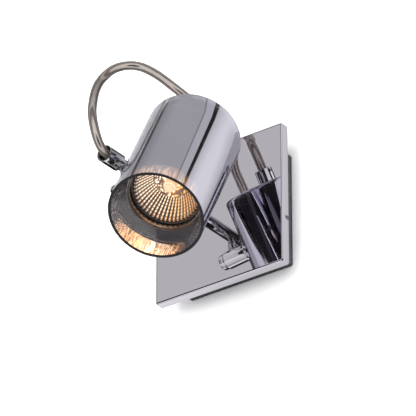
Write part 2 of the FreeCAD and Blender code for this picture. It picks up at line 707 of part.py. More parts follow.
def make_cable_bushing():
    bore = f"{CORD_R} + cord_play"
    body = washer("cable_bushing", bore, f"{bore} + bushing_wall", CORD_SEAT, f"{CORD_SEAT} + bushing_length")
    return put(body, STEM)


# Neck: a post from the stem down to the barrel, saddled on both
def make_pivot_neck():
    post = DOC.addObject("Part::Cylinder", "neck_post")
    bind(post, "Radius", "neck_width / 2")
    bind(post, "Height", "pivot_drop")
    tools = []
    saddles = (
        ("neck_stem", STEM_R, "pivot_drop", (X_AXIS, -90)),
        ("neck_barrel", "barrel_width / 2", "0", (Y_AXIS, 90)),
    )
    for name, radius, level, turn in saddles:
        tool = DOC.addObject("Part::Cylinder", name)
        bind(tool, "Radius", radius)
        bind(tool, "Height", "pivot_drop * 4")
        tool.Placement = shifted(frame(Vector(0, 0, number(level)), turn), "0", "0", "-pivot_drop * 2")
        tools.append(tool)
    fused = DOC.addObject("Part::Fuse", "neck_tools")
    fused.Base, fused.Tool = tools
    neck = DOC.addObject("Part::Cut", "pivot_neck")
    neck.Base, neck.Tool = post, fused
    neck.Label = "pivot_neck"
    NODES.append(neck)
    DOC.recompute()
    return put(neck, shifted(ARM, "0", f"-{PIVOT_OUT}", "-pivot_drop"))


# Barrel: tilt bearing with a friction screw underneath

def make_pivot_barrel():
    bore, outer = f"{AXLE_R} + turn_play", "barrel_width / 2"
    body = turned("pivot_barrel", (
        (bore, SADDLE_TOP), (f"{outer} - barrel_chamfer", SADDLE_TOP),
        (outer, f"{SADDLE_TOP} + barrel_chamfer"), (outer, f"{BARREL_END} - barrel_chamfer"),
        (f"{outer} - barrel_chamfer", BARREL_END), (bore, BARREL_END),
    ))
    drill(body, -number("tilt_rest"), "pivot_reach", "grub_width / 2 + seat_play", outer)
    return put(body, PIVOT)


def make_tilt_screw():
    top = "(barrel_width / 2 - grub_sink)"
    body = grub("tilt_screw", "grub_width", f"({top} - {AXLE_R} - turn_play)")
    body.Label = "tilt_screw"
    NODES.append(body)
    return put(body, radial(PIVOT, -number("tilt_rest"), "pivot_reach", top))


# Tilt axle: hexagon bolt from inside the can through the glass and the barrel to the cap nut
BOLT_SEAT = f"({CAN_BORE_R} - shim_gauge)"
BOLT_END = f"({CAP_FOOT} + cap_length * 0.6)"


def make_pivot_bolt():
    body = solid_disc("pivot_bolt", AXLE_R, BOLT_SEAT, BOLT_END)
    sketch = new_sketch(body, "XY_Plane", BOLT_SEAT)
    hexagon(sketch, "bolt_flats")
    pad(body, sketch, "bolt_head", away=True)
    return put(body, PIVOT)


def make_cap_nut():
    outer = "cap_width / 2"
    top = f"({CAP_FOOT} + cap_length)"
    band = f"({CAP_FOOT} + cap_length * 0.42)"
    hollow = f"{AXLE_R} + seat_play"
    body = turned("cap_nut", (
        (hollow, CAP_FOOT), (outer, CAP_FOOT), (outer, f"{band} - band_width / 2"),
        (f"{outer} - band_depth", band), (outer, f"{band} + band_width / 2"), (outer, top), ("0", top),
        ("0", BOLT_END), (hollow, BOLT_END),
    ))
    dress(body, "Fillet", circle_at(outer, top), "Radius", "cap_round")
    return put(body, PIVOT)


def make_cap_washer():
    body = washer("cap_washer", f"{AXLE_R} + seat_play", "cap_width * 0.475", BARREL_END, CAP_FOOT)
    return put(body, PIVOT)


# Curved packings on the tilt axle, cut by the round walls that they lie on
def curved_packing(label, low, high, width, keep_inside, cut_inside):
    tube = DOC.addObject("Part::Cut", label + "_tube")
    for name, radius in (("Base", width), ("Tool", f"({AXLE_R} + seat_play) * 2")):
        cylinder = DOC.addObject("Part::Cylinder", label + "_" + name.lower())
        bind(cylinder, "Radius", f"{radius} / 2")
        bind(cylinder, "Height", f"{high} - {low}")
        cylinder.Placement = frame(Vector(0, 0, number(low)))
        setattr(tube, name, cylinder)
    tube.Label = label + "_tube"
    piece = tube
    for kind, radius in (("Part::Common", keep_inside), ("Part::Cut", cut_inside)):
        if radius is None:
            continue
        wall = DOC.addObject("Part::Cylinder", label + "_wall")
        bind(wall, "Radius", radius)
        bind(wall, "Height", f"{width} * 2")
        wall.Placement = frame(Vector(), (Y_AXIS, 90)) * frame(Vector(0, 0, -number(width)))
        joined = DOC.addObject(kind, label + "_shape")
        joined.Base, joined.Tool = piece, wall
        piece = joined
    piece.Label = label
    NODES.append(piece)
    DOC.recompute()
    return put(piece, PIVOT)


def make_shade_saddle():
    return curved_packing("shade_saddle", CAN_R, SADDLE_TOP, "saddle_width", None, SHADE_R)


def make_shade_spacer():
    low = f"({CAN_R} - can_gap / 2)"
    return curved_packing("shade_spacer", low, SHADE_R, "barrel_width", SHADE_BORE_R, CAN_R)


def make_can_shim():
    return curved_packing("can_shim", BOLT_SEAT, CAN_R, "barrel_width", CAN_BORE_R, None)


# Glass: a cylinder open at the front and closed at the rear, with a gland hole and an axle hole
def make_shade_glass():
    floor = f"({SHADE_REAR} - shade_floor)"
    hole = f"{NIPPLE_R} + glass_play"
    body = turned("shade_glass", (
        (SHADE_BORE_R, SHADE_FRONT), (SHADE_R, SHADE_FRONT), (SHADE_R, SHADE_REAR),
        (hole, SHADE_REAR), (hole, floor), (SHADE_BORE_R, floor),
    ))
    dress(body, "Fillet", circle_at(SHADE_R, SHADE_REAR), "Radius", "shade_round")
    dress(body, "Fillet", circle_at(SHADE_BORE_R, floor), "Radius", "shade_round * 0.5")
    drill_side(body, f"{AXLE_R} + glass_play", SHADE_R)
    drill(body, SHADE_SCREW_ANGLE, "shade_screw_level", "grub_width / 2 + glass_play", SHADE_R)
    return put(body, HEAD)


def drill_side(body, radius, reach):
    sketch = new_sketch(body, "YZ_Plane")
    ring(sketch, "0", "0", radius)
    pocket(body, sketch, f"{reach} + 1")


# Glass screw: a grub screw in the can's wall stands in a hole of the glass on its side towards the wall,
# so that the glass can't turn about the can
SHADE_SCREW_ANGLE = 83


def make_shade_screw():
    top = f"({SHADE_R} - grub_sink)"
    body = grub("shade_screw", "grub_width", f"({top} - {CAN_BORE_R})")
    body.Label = "shade_screw"
    NODES.append(body)
    return put(body, radial(HEAD, SHADE_SCREW_ANGLE, "shade_screw_level", top))


# Can: thin cup with a ring of vents round its rear hole
def make_lamp_can():
    floor = f"({CAN_REAR} - can_wall)"
    hole = f"{NIPPLE_R} + seat_play"
    body = turned("lamp_can", (
        (CAN_BORE_R, CAN_FRONT), (CAN_R, CAN_FRONT), (CAN_R, CAN_REAR),
        (hole, CAN_REAR), (hole, floor), (CAN_BORE_R, floor),
    ))
    drill_side(body, f"{AXLE_R} + glass_play", CAN_R)
    drill(body, SHADE_SCREW_ANGLE, "shade_screw_level", "grub_width / 2 + seat_play", CAN_R)
    vent = new_sketch(body, "XY_Plane", CAN_REAR)
    ring(vent, "vent_circle / 2", "0", "vent_width / 2")
    cut = pocket(body, vent, "can_wall")
    pattern = body.newObject("PartDesign::PolarPattern", "can_vents")
    pattern.Originals = [cut]
    pattern.Axis = (vent, ["N_Axis"])
    pattern.Angle = 360
    pattern.Occurrences = 6
    body.Tip = pattern
    DOC.recompute()
    return put(body, HEAD)


def make_can_bezel():
    bore = "(lamp_width / 2 + bezel_play)"
    front = f"({CAN_FRONT} - bezel_height)"
    lip = f"{CAN_BORE_R} - seat_play"
    body = turned("can_bezel", (
        (f"{bore} + bezel_edge", front), (f"{CAN_R} - bezel_edge", front),
        (CAN_R, f"{front} + bezel_edge"), (CAN_R, CAN_FRONT), (lip, CAN_FRONT),
        (lip, f"{CAN_FRONT} + bezel_lip"), (bore, f"{CAN_FRONT} + bezel_lip"),
        (bore, f"{front} + bezel_edge"),
    ))
    return put(body, HEAD)


# Lamp mirror: a glass dish whose inside is a ruled loft of many-sided rings, so that it has flat facets
FLUTES = 36
MIRROR_RINGS = 6


def make_mirror_core():
    sections = []
    for index in range(MIRROR_RINGS + 1):
        share = index / MIRROR_RINGS
        radius = f"({MIRROR_R} * {1 - share} + mirror_throat / 2 * {share})"
        polygon = DOC.addObject("Part::RegularPolygon", "mirror_ring")
        polygon.Polygon = FLUTES
        bind(polygon, "Circumradius", radius)
        bind(polygon, "Placement.Base.z", mirror_level(radius))
        sections.append(polygon)
    core = DOC.addObject("Part::Loft", "mirror_core")
    core.Sections = sections
    core.Solid = True
    core.Ruled = True
    DOC.recompute()
    return core


def make_lamp_reflector():
    rim, throat = "lamp_width / 2", "mirror_throat / 2"
    neck = f"({throat} + lamp_shell)"
    rim_back = f"({LAMP_FRONT} + lamp_rim)"
    dish_radius = [f"{MIRROR_R} * 0.8", f"{MIRROR_R} * 0.56", neck]
    dish = [(radius, f"{mirror_level(radius)} + lamp_shell * 2.2") for radius in dish_radius]
    neck_end = f"({BASE_FRONT} + neck_seat)"
    shell = turned("mirror_shell", [
        ("0", MIRROR_MOUTH), (COVER_SEAT_R, MIRROR_MOUTH), (COVER_SEAT_R, LAMP_FRONT), (rim, LAMP_FRONT),
        (rim, rim_back), (f"{MIRROR_R} + lamp_shell * 0.4", rim_back)] + dish + [
        (neck, neck_end), ("neck_bore / 2", neck_end),
        ("neck_bore / 2", mirror_level(throat)), ("0", mirror_level(throat)),
    ], node=False)
    mirror = DOC.addObject("Part::Cut", "lamp_reflector")
    mirror.Base, mirror.Tool = shell, make_mirror_core()
    mirror.Label = "lamp_reflector"
    NODES.append(mirror)
    DOC.recompute()
    return put(mirror, HEAD)


def make_lamp_cover():
    return put(solid_disc("lamp_cover", f"{COVER_SEAT_R} - cover_play", LAMP_FRONT, MIRROR_MOUTH), HEAD)


# Burner: domed capsule on a pinched foot that is cemented into the lamp's neck
def make_lamp_burner():
    body_r = "burner_width / 2"
    tip = f"({LAMP_FRONT} + burner_tip)"
    foot = f"({BASE_FRONT} + neck_seat * 0.8)"
    shoulder = f"({foot} - burner_foot)"
    body = turned("lamp_burner", (
        ("0", tip), (body_r, tip), (body_r, shoulder),
        (f"{body_r} * 0.62", f"{shoulder} + burner_foot * 0.2"),
        (f"{body_r} * 0.62", foot), ("0", foot),
    ))
    dress(body, "Fillet", circle_at(body_r, tip), "Radius", f"{body_r} * 0.8")
    return put(body, HEAD)


def make_lamp_base():
    throat = "(mirror_throat / 2 + lamp_shell)"
    body = turned("lamp_base", (
        (f"{throat} + seat_play", BASE_FRONT), ("base_width / 2 - base_taper", BASE_FRONT),
        ("base_width / 2", f"{BASE_FRONT} + base_taper * 2.4"), ("base_width / 2", LAMP_END), ("0", LAMP_END),
        ("0", f"{BASE_FRONT} + neck_seat"), (f"{throat} + seat_play", f"{BASE_FRONT} + neck_seat"),
    ))
    return put(body, HEAD)


def pin_places():
    return [f"{side}pin_spacing / 2" for side in ("-", "")]


def make_lamp_pins():
    pins = []
    head = f"({LAMP_END} + pin_length * 0.6)"
    top = f"({LAMP_END} + pin_length)"
    for y in pin_places():
        body = turned("lamp_pin", (
            ("0", LAMP_END), ("pin_shank / 2", LAMP_END), ("pin_shank / 2", head), ("pin_width / 2", head),
            ("pin_width / 2", top), ("0", top),
        ), node=False)
        pins.append(put(body, shifted(HEAD, "0", y, "0")))
    return gathered("lamp_pins", pins)


# Holder: ceramic disc with a keyhole for each pin and two threaded holes at its back
def make_lamp_holder():
    body = solid_disc("lamp_holder", "holder_width / 2", LAMP_END, HOLDER_END)
    sketch = new_sketch(body, "XY_Plane", LAMP_END)
    for y in pin_places():
        ring(sketch, "0", y, "pin_width / 2 + pin_play")
    pocket(body, sketch, "pin_length * 1.15", away=True)
    back = new_sketch(body, "XY_Plane", HOLDER_END)
    for side in ("-", ""):
        ring(back, "0", f"{side}holder_screw_spacing / 2", "grub_width / 2 + seat_play")
    pocket(body, back, "holder_length * 0.5")
    return put(body, HEAD)


def make_holder_bracket():
    body = new_body("holder_bracket")
    floor = f"({CAN_REAR} - can_wall)"
    half = "strap_span / 2"
    lip = f"({half} - strap_lip)"
    low = HOLDER_END
    right = (
        (half, floor), (half, low), (lip, low), (lip, f"{low} + strap_gauge"),
        (f"{half} - strap_gauge", f"{low} + strap_gauge"),
        (f"{half} - strap_gauge", f"{floor} - strap_gauge"),
    )
    left = [("-" + x if x == half else f"-({x})", z) for x, z in reversed(right)]
    sketch = new_sketch(body, "YZ_Plane", "-strap_width / 2")
    outline(sketch, list(right) + left)
    pad(body, sketch, "strap_width")
    centre = new_sketch(body, "XY_Plane", floor)
    ring(centre, "0", "0", f"{NIPPLE_R} + seat_play")
    pocket(body, centre, "strap_gauge")
    ends = new_sketch(body, "XY_Plane", f"{low} + strap_gauge")
    for side in ("-", ""):
        ring(ends, "0", f"{side}holder_screw_spacing / 2", "grub_width / 2 + seat_play")
    pocket(body, ends, "strap_gauge")
    return put(body, HEAD)


def make_holder_screws():
    screws = []
    for side in ("-", ""):
        body = pan_screw("holder_screw", "grub_width", "(strap_gauge + holder_length * 0.4)",
                         "(grub_width * 1.7)", "(grub_width * 0.6)", node=False)
        place = (f"{side}holder_screw_spacing / 2", f"{HOLDER_END} + strap_gauge")
        screws.append(put(body, shifted(HEAD, "0", *place)))
    return gathered("holder_screws", screws)


# Rear joint: a threaded tube clamps bracket, can, spacer, gaskets and glass between nut and gland
NUT_TOP = f"({CAN_REAR} - can_wall - strap_gauge)"


def make_rear_nipple():
    low = f"({NUT_TOP} - nipple_nut_length - nipple_tail)"
    return put(washer("rear_nipple", "nipple_bore / 2", NIPPLE_R, low, NIPPLE_END), HEAD)


def make_nipple_nut():
    low = f"({NUT_TOP} - nipple_nut_length)"
    return put(nut("nipple_nut", "nipple_nut_flats", f"{NIPPLE_R} + seat_play", low, NUT_TOP), HEAD)


def make_rear_spacer():
    bore, outer = f"{NIPPLE_R} + seat_play", f"{NIPPLE_R} + spacer_wall"
    body = washer("rear_spacer", bore, outer, CAN_REAR, GASKET_FOOT)
    return put(body, HEAD)


def make_rear_gaskets():
    bore = f"{NIPPLE_R} + glass_play"
    inner_top = f"{GASKET_FOOT} + gasket_gauge"
    inner = washer("rear_gasket", bore, "gasket_width / 2", GASKET_FOOT, inner_top, False)
    outer = washer("rear_gasket", bore, "gland_width / 2", SHADE_REAR, GLAND_FOOT, False)
    return gathered("rear_gaskets", [put(inner, HEAD), put(outer, HEAD)])


def make_cable_gland():
    outer, bore = "gland_width / 2", f"({CORD_R} + cord_play)"
    body = turned("cable_gland", (
        (f"{NIPPLE_R} + seat_play", GLAND_FOOT), (outer, GLAND_FOOT), (outer, f"{GLAND_END} - gland_edge"),
        (f"{outer} - gland_edge", GLAND_END), (f"{bore} + mouth_edge", GLAND_END),
        (bore, f"{GLAND_END} - mouth_edge"), (bore, NIPPLE_END), (f"{NIPPLE_R} + seat_play", NIPPLE_END),
    ))
    drill(body, GLAND_ANGLE, GLAND_LEVEL, "grub_width / 2 + seat_play", outer)
    return put(body, HEAD)


GLAND_ANGLE = 20
GLAND_LEVEL = f"({NIPPLE_END} / 2 + {GLAND_END} / 2)"


def make_gland_screw():
    top = "(gland_width / 2 - grub_sink)"
    body = grub("gland_screw", "grub_width", f"({top} - {CORD_R} - cord_play)")
    body.Label = "gland_screw"
    NODES.append(body)
    return put(body, radial(HEAD, GLAND_ANGLE, GLAND_LEVEL, top))


# Flex: straight runs joined by tangent arcs. The middle points are chosen by hand, counted from the point
# where the stem's axis meets the plate's front.
ROUTE = (
    (39.8, -32.5, 50.2), (31.7, -45.1, 60.4), (20.6, -52.7, 72.8), (9.0, -59.4, 80.8), (-1.5, -69.7, 77.8),
    (-8.0, -76.5, 67.8), (-6.5, -85.5, 54.3), (-3.5, -92.5, 39.3), (-0.5, -98.0, 24.3), (0.0, -93.0, 6.3),
)
ARC_SHARE = 0.45


def route_points():
    first = HEAD.multVec(Vector(0, 0, number(NIPPLE_END)))
    second = HEAD.multVec(Vector(0, 0, number(f"{GLAND_END} + gland_lead")))
    middle = [ARM.Base + Vector(*point) * number("loop_unit") for point in ROUTE]
    last_turn = STEM.multVec(Vector(0, 0, number(f"{SOCKET_END} - socket_tuck")))
    last = STEM.multVec(Vector(0, 0, number(CORD_SEAT)))
    return [first, second] + middle + [last_turn, last]


def tangent_arc(before, corner, after):
    run_in, run_out = corner - before, after - corner
    turn = run_in.getAngle(run_out)
    tangent = ARC_SHARE * min(run_in.Length, run_out.Length)
    radius = tangent / math.tan(turn / 2)
    start = corner - Vector(run_in).normalize() * tangent
    end = corner + Vector(run_out).normalize() * tangent
    chord_mid = (start + end) * 0.5
    sagitta = radius * (1 - math.cos(turn / 2))
    middle = chord_mid + (corner - chord_mid).normalize() * sagitta
    return start, middle, end, radius


def make_flex_cable():
    points = route_points()
    edges, radii = [], []
    here = points[0]
    for before, corner, after in zip(points, points[1:], points[2:]):
        start, middle, end, radius = tangent_arc(before, corner, after)
        edges.append(Part.LineSegment(here, start).toShape())
        edges.append(Part.Arc(start, middle, end).toShape())
        radii.append(radius)
        here = end
    edges.append(Part.LineSegment(here, points[-1]).toShape())
    path = Part.Wire(edges)
    circle = Part.Wire(Part.Circle(points[0], points[1] - points[0], number(CORD_R)).toShape())
    shape = path.makePipeShell([circle], True, False)
    expected = math.pi * number(CORD_R) ** 2 * path.Length
    print("flex length %.1f mm, volume share %.4f" % (path.Length, shape.Volume / expected))
    print("flex radii mm", [round(radius, 1) for radius in radii])
    cable = DOC.addObject("Part::Feature", "flex_cable")
    cable.Label = "flex_cable"
    cable.Shape = shape
    NODES.append(cable)
    return cable


MAKERS = (
    make_wall_box, make_canopy_plate, make_canopy_lugs, make_canopy_screws, make_entry_grommet,
    make_terminal_block, make_terminal_screws, make_terminal_fixing, make_earth_screw,
    make_stem_bush, make_bush_washer, make_bush_nut,
    make_stem_tube, make_stem_friction_washer, make_stem_clip, make_cable_socket, make_socket_screws,
    make_cable_bushing, make_pivot_neck, make_pivot_barrel, make_tilt_screw,
    make_pivot_bolt, make_cap_nut, make_cap_washer, make_shade_saddle, make_shade_spacer, make_can_shim,
    make_shade_glass, make_shade_screw, make_lamp_can, make_can_bezel,
    make_lamp_reflector, make_lamp_cover, make_lamp_burner, make_lamp_base, make_lamp_pins,
    make_lamp_holder, make_holder_bracket, make_holder_screws,
    make_rear_nipple, make_nipple_nut, make_rear_spacer, make_rear_gaskets, make_cable_gland,
    make_gland_screw, make_flex_cable,
)


def check_document():
    DOC.recompute()
    for thing in DOC.Objects:
        if "Invalid" in thing.State or "Error" in thing.State:
            raise ValueError("%s (%s) failed" % (thing.Name, thing.Label))
    for node in NODES:
        if node.Shape.isNull() or not node.Shape.isValid() or not node.Shape.Solids:
            raise ValueError("%s has no valid solid" % node.Label)


for make in MAKERS:
    make()
check_document()
os.makedirs("parts", exist_ok=True)
for node in NODES:
    node.Shape.exportStep("parts/%s.step" % node.Label)
print(len(NODES), "nodes,", sum(len(node.Shape.Solids) for node in NODES), "solids")
print("tilt axis at", tuple(round(value, 3) for value in HEAD.Base), "along",
      tuple(round(value, 5) for value in HEAD.Rotation.multVec(X_AXIS)))
print("route", [tuple(round(value, 2) for value in point) for point in route_points()])
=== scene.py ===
"""Wall spotlight with a mirrored glass head on a looped flex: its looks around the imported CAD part."""

import math

import bpy
from mathutils import Matrix, Vector


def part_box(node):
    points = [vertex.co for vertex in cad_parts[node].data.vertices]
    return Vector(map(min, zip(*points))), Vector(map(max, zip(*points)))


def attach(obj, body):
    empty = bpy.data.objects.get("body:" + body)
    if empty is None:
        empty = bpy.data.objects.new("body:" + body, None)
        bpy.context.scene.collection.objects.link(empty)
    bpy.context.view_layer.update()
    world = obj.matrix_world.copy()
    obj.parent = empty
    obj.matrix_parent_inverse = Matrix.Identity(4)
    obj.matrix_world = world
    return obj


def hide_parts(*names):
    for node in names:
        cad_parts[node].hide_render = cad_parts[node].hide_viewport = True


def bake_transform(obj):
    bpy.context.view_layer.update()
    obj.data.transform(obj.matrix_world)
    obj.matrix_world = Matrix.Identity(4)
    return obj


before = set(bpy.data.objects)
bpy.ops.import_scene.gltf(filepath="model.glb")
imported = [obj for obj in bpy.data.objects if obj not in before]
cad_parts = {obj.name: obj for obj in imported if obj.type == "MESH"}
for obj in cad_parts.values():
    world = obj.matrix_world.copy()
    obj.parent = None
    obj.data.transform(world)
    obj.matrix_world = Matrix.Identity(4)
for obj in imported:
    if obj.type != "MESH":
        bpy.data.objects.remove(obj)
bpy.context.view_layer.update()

bl_info = {
    "name": "Mirrored Glass Wall Spotlight",
    "version": (1, 0, 0),
    "blender": (4, 5, 0),
    "location": "3D View > Sidebar > Spotlight",
    "description": "Dresses a wall spotlight: mirror plate, chrome fittings, braided flex "
                   "and mirrored glass head",
    "category": "Object",
}

MM = 0.001
SWIVEL_REST, SWIVEL_PLACE = -6.0, (-0.035, -0.027, 0.0212)
TILT_REST, TILT_PLACE = -31.4, (0.015367, -0.0902, 0.007892)


def local_frame(base, *turns):
    place = Matrix.Translation(base)
    for degrees, axis in turns:
        place = place @ Matrix.Rotation(math.radians(degrees), 4, axis)
    return place


def along(level):
    """A step of this length along a frame's axis."""
    return Matrix.Translation((0, 0, level))


def radial(base, angle, level, reach):
    """Frame on a turned piece's side, its axis pointing outwards."""
    return base @ local_frame((0, 0, level), (angle, "Z"), (90, "Y")) @ along(reach)


def span(node, place):
    """Low and high level of a CAD node along a frame's axis, and its least and greatest radius."""
    back = place.inverted()
    points = [back @ vertex.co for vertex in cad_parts[node].data.vertices]
    levels = [point.z for point in points]
    radii = [math.hypot(point.x, point.y) for point in points]
    return min(levels), max(levels), min(radii), max(radii)


# Frames of the moving bodies at rest
STEM = local_frame(SWIVEL_PLACE, (SWIVEL_REST, "Y"), (90, "X"))
HEAD = local_frame(TILT_PLACE, (SWIVEL_REST, "Y"), (TILT_REST, "X"))
PIVOT = HEAD @ local_frame((0, 0, 0), (-90, "Y"))

# The flex's route in metres: the part's own points, moved by about a millimetre to follow the photograph
ROUTE = (
    (0.01153, -0.06780, 0.04439),
    (0.00986, -0.05805, 0.06027),
    (0.0042, -0.0598, 0.0716),
    (-0.0041, -0.0725, 0.0817),
    (-0.0152, -0.0802, 0.0940),
    (-0.0268, -0.0870, 0.1019),
    (-0.0373, -0.0974, 0.0988),
    (-0.0438, -0.1043, 0.0889),
    (-0.0423, -0.1134, 0.0756),
    (-0.0393, -0.1204, 0.0607),
    (-0.0361, -0.1257, 0.0457),
    (-0.0350, -0.1205, 0.0277),
    (-0.0350, -0.1115, 0.0212),
    (-0.0350, -0.1018, 0.0212),
)

# Radius of the grub screws' holes, depths of the cutters, and the least radius, where a turned piece closes
GRUB_HOLE = 1.55 * MM
GRUB_CUT = 4 * MM
WALL_CUT = 8 * MM
POLE = 0.01 * MM


def length_property(name, description, default, low, high):
    """Property for a length, given in millimetres."""
    return bpy.props.FloatProperty(name=name, description=description, default=default * MM,
                                   min=low * MM, max=high * MM, unit="LENGTH")


def colour_property(name, description, default):
    return bpy.props.FloatVectorProperty(name=name, description=description, default=default,
                                         subtype="COLOR", size=3, min=0, max=1)


class SpotlightSizes(bpy.types.PropertyGroup):
    """Sizes of the dressed pieces"""

    glass_wall: length_property("Glass wall", "Wall of the mirrored glass", 2.2, 1, 4)
    glass_floor: length_property("Glass floor", "Rear wall of the mirrored glass", 2.5, 1, 4)
    glass_round: length_property("Glass round", "Outer radius of the glass's rear corner", 2.4, 1, 10)
    plate_gauge: length_property("Plate gauge", "Sheet thickness of the mirror plate", 1.5, 0.5, 3)
    plate_bend: length_property("Plate bend", "Outer radius of the mirror plate's folded edges", 1.5, 0.5, 4)
    flutes: bpy.props.IntProperty(
        name="Flutes", description="Flutes round the lamp's mirror", default=48, min=12, max=72)
    flute_depth: length_property("Flute depth", "Depth of the flutes in the lamp's mirror", 0.55, 0.1, 2)
    strands: bpy.props.IntProperty(
        name="Strands", description="Strands of the braid in each direction", default=12, min=6, max=24)
    strand_width: length_property("Strand width", "Width of one strand of the braid", 1.35, 0.3, 3)
    strand_gauge: length_property("Strand gauge", "Thickness of one strand of the braid", 0.22, 0.05, 1)
    braid_pitch: length_property(
        "Braid pitch", "Length in which a strand goes once round the flex", 17.6, 5, 60)
    flex_width: length_property("Flex width", "Outer diameter of the flex's clear sheath", 6.4, 3, 10)


class SpotlightFinishes(bpy.types.PropertyGroup):
    """Colours and glow of the finishes"""

    chrome: colour_property("Chrome", "Polished chrome of the fittings", (0.80, 0.80, 0.81))
    plate: colour_property("Mirror plate", "Polished steel of the mirror plate", (0.765, 0.73, 0.795))
    glass: colour_property("Mirrored glass", "Metal film on the glass", (0.87, 0.86, 0.985))
    braid: colour_property("Braid", "Metal braid of the flex", (0.86, 0.77, 0.71))
    # The zinc tone is darker than bright zinc: partly the box's own grey, partly painted shade for the box,
    # which sits in the plate's shade.
    zinc: colour_property("Zinc", "Zinc coat on the back box", (0.30, 0.31, 0.33))
    aluminium: colour_property("Aluminium", "Spun aluminium of the inner can", (0.55, 0.54, 0.53))
    glow: colour_property("Lamp glow", "Light in the lamp's mirror", (1.0, 0.80, 0.48))
    glow_strength: bpy.props.FloatProperty(
        name="Glow strength", description="Strength of the light in the lamp's mirror", default=1.9,
        min=0, max=20)
    wall: colour_property("Wall", "Wall and floor of the studio", (0.80, 0.80, 0.81))


def sizes():
    return bpy.context.scene.spotlight_sizes


def finishes():
    return bpy.context.scene.spotlight_finishes


# Modelling helpers
def mode(name):
    bpy.ops.object.mode_set(mode=name)


def deselect():
    if bpy.context.object and bpy.context.object.mode != "OBJECT":
        mode("OBJECT")
    bpy.ops.object.select_all(action="DESELECT")


def pick(piece):
    deselect()
    piece.select_set(True)
    bpy.context.view_layer.objects.active = piece


def pick_vertices(piece, test):
    """Edit mode, with only those vertices selected that pass the test."""
    mode("EDIT")
    bpy.ops.mesh.select_mode(type="VERT")
    mode("OBJECT")
    for part in (*piece.data.polygons, *piece.data.edges):
        part.select = False
    for vertex in piece.data.vertices:
        vertex.select = test(vertex.co)
    mode("EDIT")


def name_piece(name):
    piece = bpy.context.object
    piece.name = piece.data.name = name
    return piece


def apply_place():
    bpy.ops.object.transform_apply(location=True, rotation=True, scale=True)


def apply_modifier(piece, kind, **settings):
    pick(piece)
    modifier = piece.modifiers.new(kind.title(), kind)
    for key, value in settings.items():
        setattr(modifier, key, value)
    bpy.ops.object.modifier_apply(modifier=modifier.name)


def settle(piece, place):
    pick(piece)
    piece.matrix_world = place
    apply_place()


def close_mesh(merge=None, inside=False):
    """From edit mode: merge points that lie together, turn the faces one way, and leave edit mode."""
    bpy.ops.mesh.select_all(action="SELECT")
    if merge:
        bpy.ops.mesh.remove_doubles(threshold=merge)
    bpy.ops.mesh.normals_make_consistent(inside=inside)
    mode("OBJECT")


def smooth(angle):
    bpy.ops.object.shade_smooth_by_angle(angle=math.radians(angle))


def soften(piece, angle=35, weighted=True):
    """Smooth shading up to an angle, with the large faces kept flat."""
    pick(piece)
    smooth(angle)
    if weighted:
        apply_modifier(piece, "WEIGHTED_NORMAL", keep_sharp=True, weight=80)


def lathe(name, rings, place, sides=128, closed=True):
    """Turned piece: a ring is drawn, then extruded and scaled to each next radius and level."""
    deselect()
    radius, level = rings[0]
    bpy.ops.mesh.primitive_circle_add(vertices=sides, radius=radius, fill_type="NOTHING")
    piece = name_piece(name)
    mode("EDIT")
    bpy.ops.mesh.select_all(action="SELECT")
    bpy.ops.transform.translate(value=(0, 0, level))
    for radius_next, level_next in rings[1:] + (rings[:1] if closed else []):
        step = (0, 0, level_next - level)
        bpy.ops.mesh.extrude_edges_move(TRANSFORM_OT_translate={"value": step})
        scale = radius_next / radius
        bpy.ops.transform.resize(value=(scale, scale, 1), center_override=(0, 0, level_next))
        radius, level = radius_next, level_next
    close_mesh(merge=0.03 * MM)
    settle(piece, place)
    return piece


def rounded(centre_radius, centre_level, radius, start, end, steps=6):
    """Rings of a rounded edge about a centre, from one angle to another in degrees."""
    angles = [math.radians(start + (end - start) * step / steps) for step in range(steps + 1)]
    return [(centre_radius + radius * math.cos(a), centre_level + radius * math.sin(a)) for a in angles]


def low_edge(outer, low, radius, steps=4):
    return rounded(outer - radius, low + radius, radius, -90, 0, steps)


def high_edge(outer, high, radius, steps=4):
    return rounded(outer - radius, high - radius, radius, 0, 90, steps)


def subtract(piece, cutter):
    apply_modifier(piece, "BOOLEAN", operation="DIFFERENCE", object=cutter, solver="EXACT")
    bpy.data.objects.remove(cutter)


def cut(piece, place, radius, depth, sides=32):
    """Round hole through a piece."""
    deselect()
    bpy.ops.mesh.primitive_cylinder_add(vertices=sides, radius=radius, depth=depth)
    cutter = name_piece("cutter")
    settle(cutter, place)
    subtract(piece, cutter)


def smoothed(node, name, angle=30):
    """A merged and smooth copy of a CAD node."""
    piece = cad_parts[node].copy()
    piece.data = piece.data.copy()
    for key in list(piece.keys()):
        del piece[key]
    piece.parent = None
    bpy.context.scene.collection.objects.link(piece)
    piece.name = piece.data.name = name
    pick(piece)
    mode("EDIT")
    bpy.ops.mesh.select_all(action="SELECT")
    bpy.ops.mesh.remove_doubles(threshold=0.002 * MM)
    mode("OBJECT")
    smooth(angle)
    return piece


def hand_over(piece, body, slot, materials, *nodes):
    """Give a piece its materials and its body, and hide the CAD nodes that it stands for."""
    piece.data.materials.clear()
    for material in materials:
        piece.data.materials.append(material)
    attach(piece, body)
    if nodes:
        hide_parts(*nodes)


def chrome_piece(name, rings, place, body, node, holes=()):
    """Turned chrome piece with its grub screws' holes."""
    piece = lathe(name, rings, place)
    for hole in holes:
        cut(piece, hole, GRUB_HOLE, GRUB_CUT)
    soften(piece)
    hand_over(piece, body, "chrome", [chrome()], node)


def head_polar(point):
    """Distance of a point from the head's axis, and its level along it."""
    local = HEAD.inverted() @ point
    return math.hypot(local.x, local.y), local.z


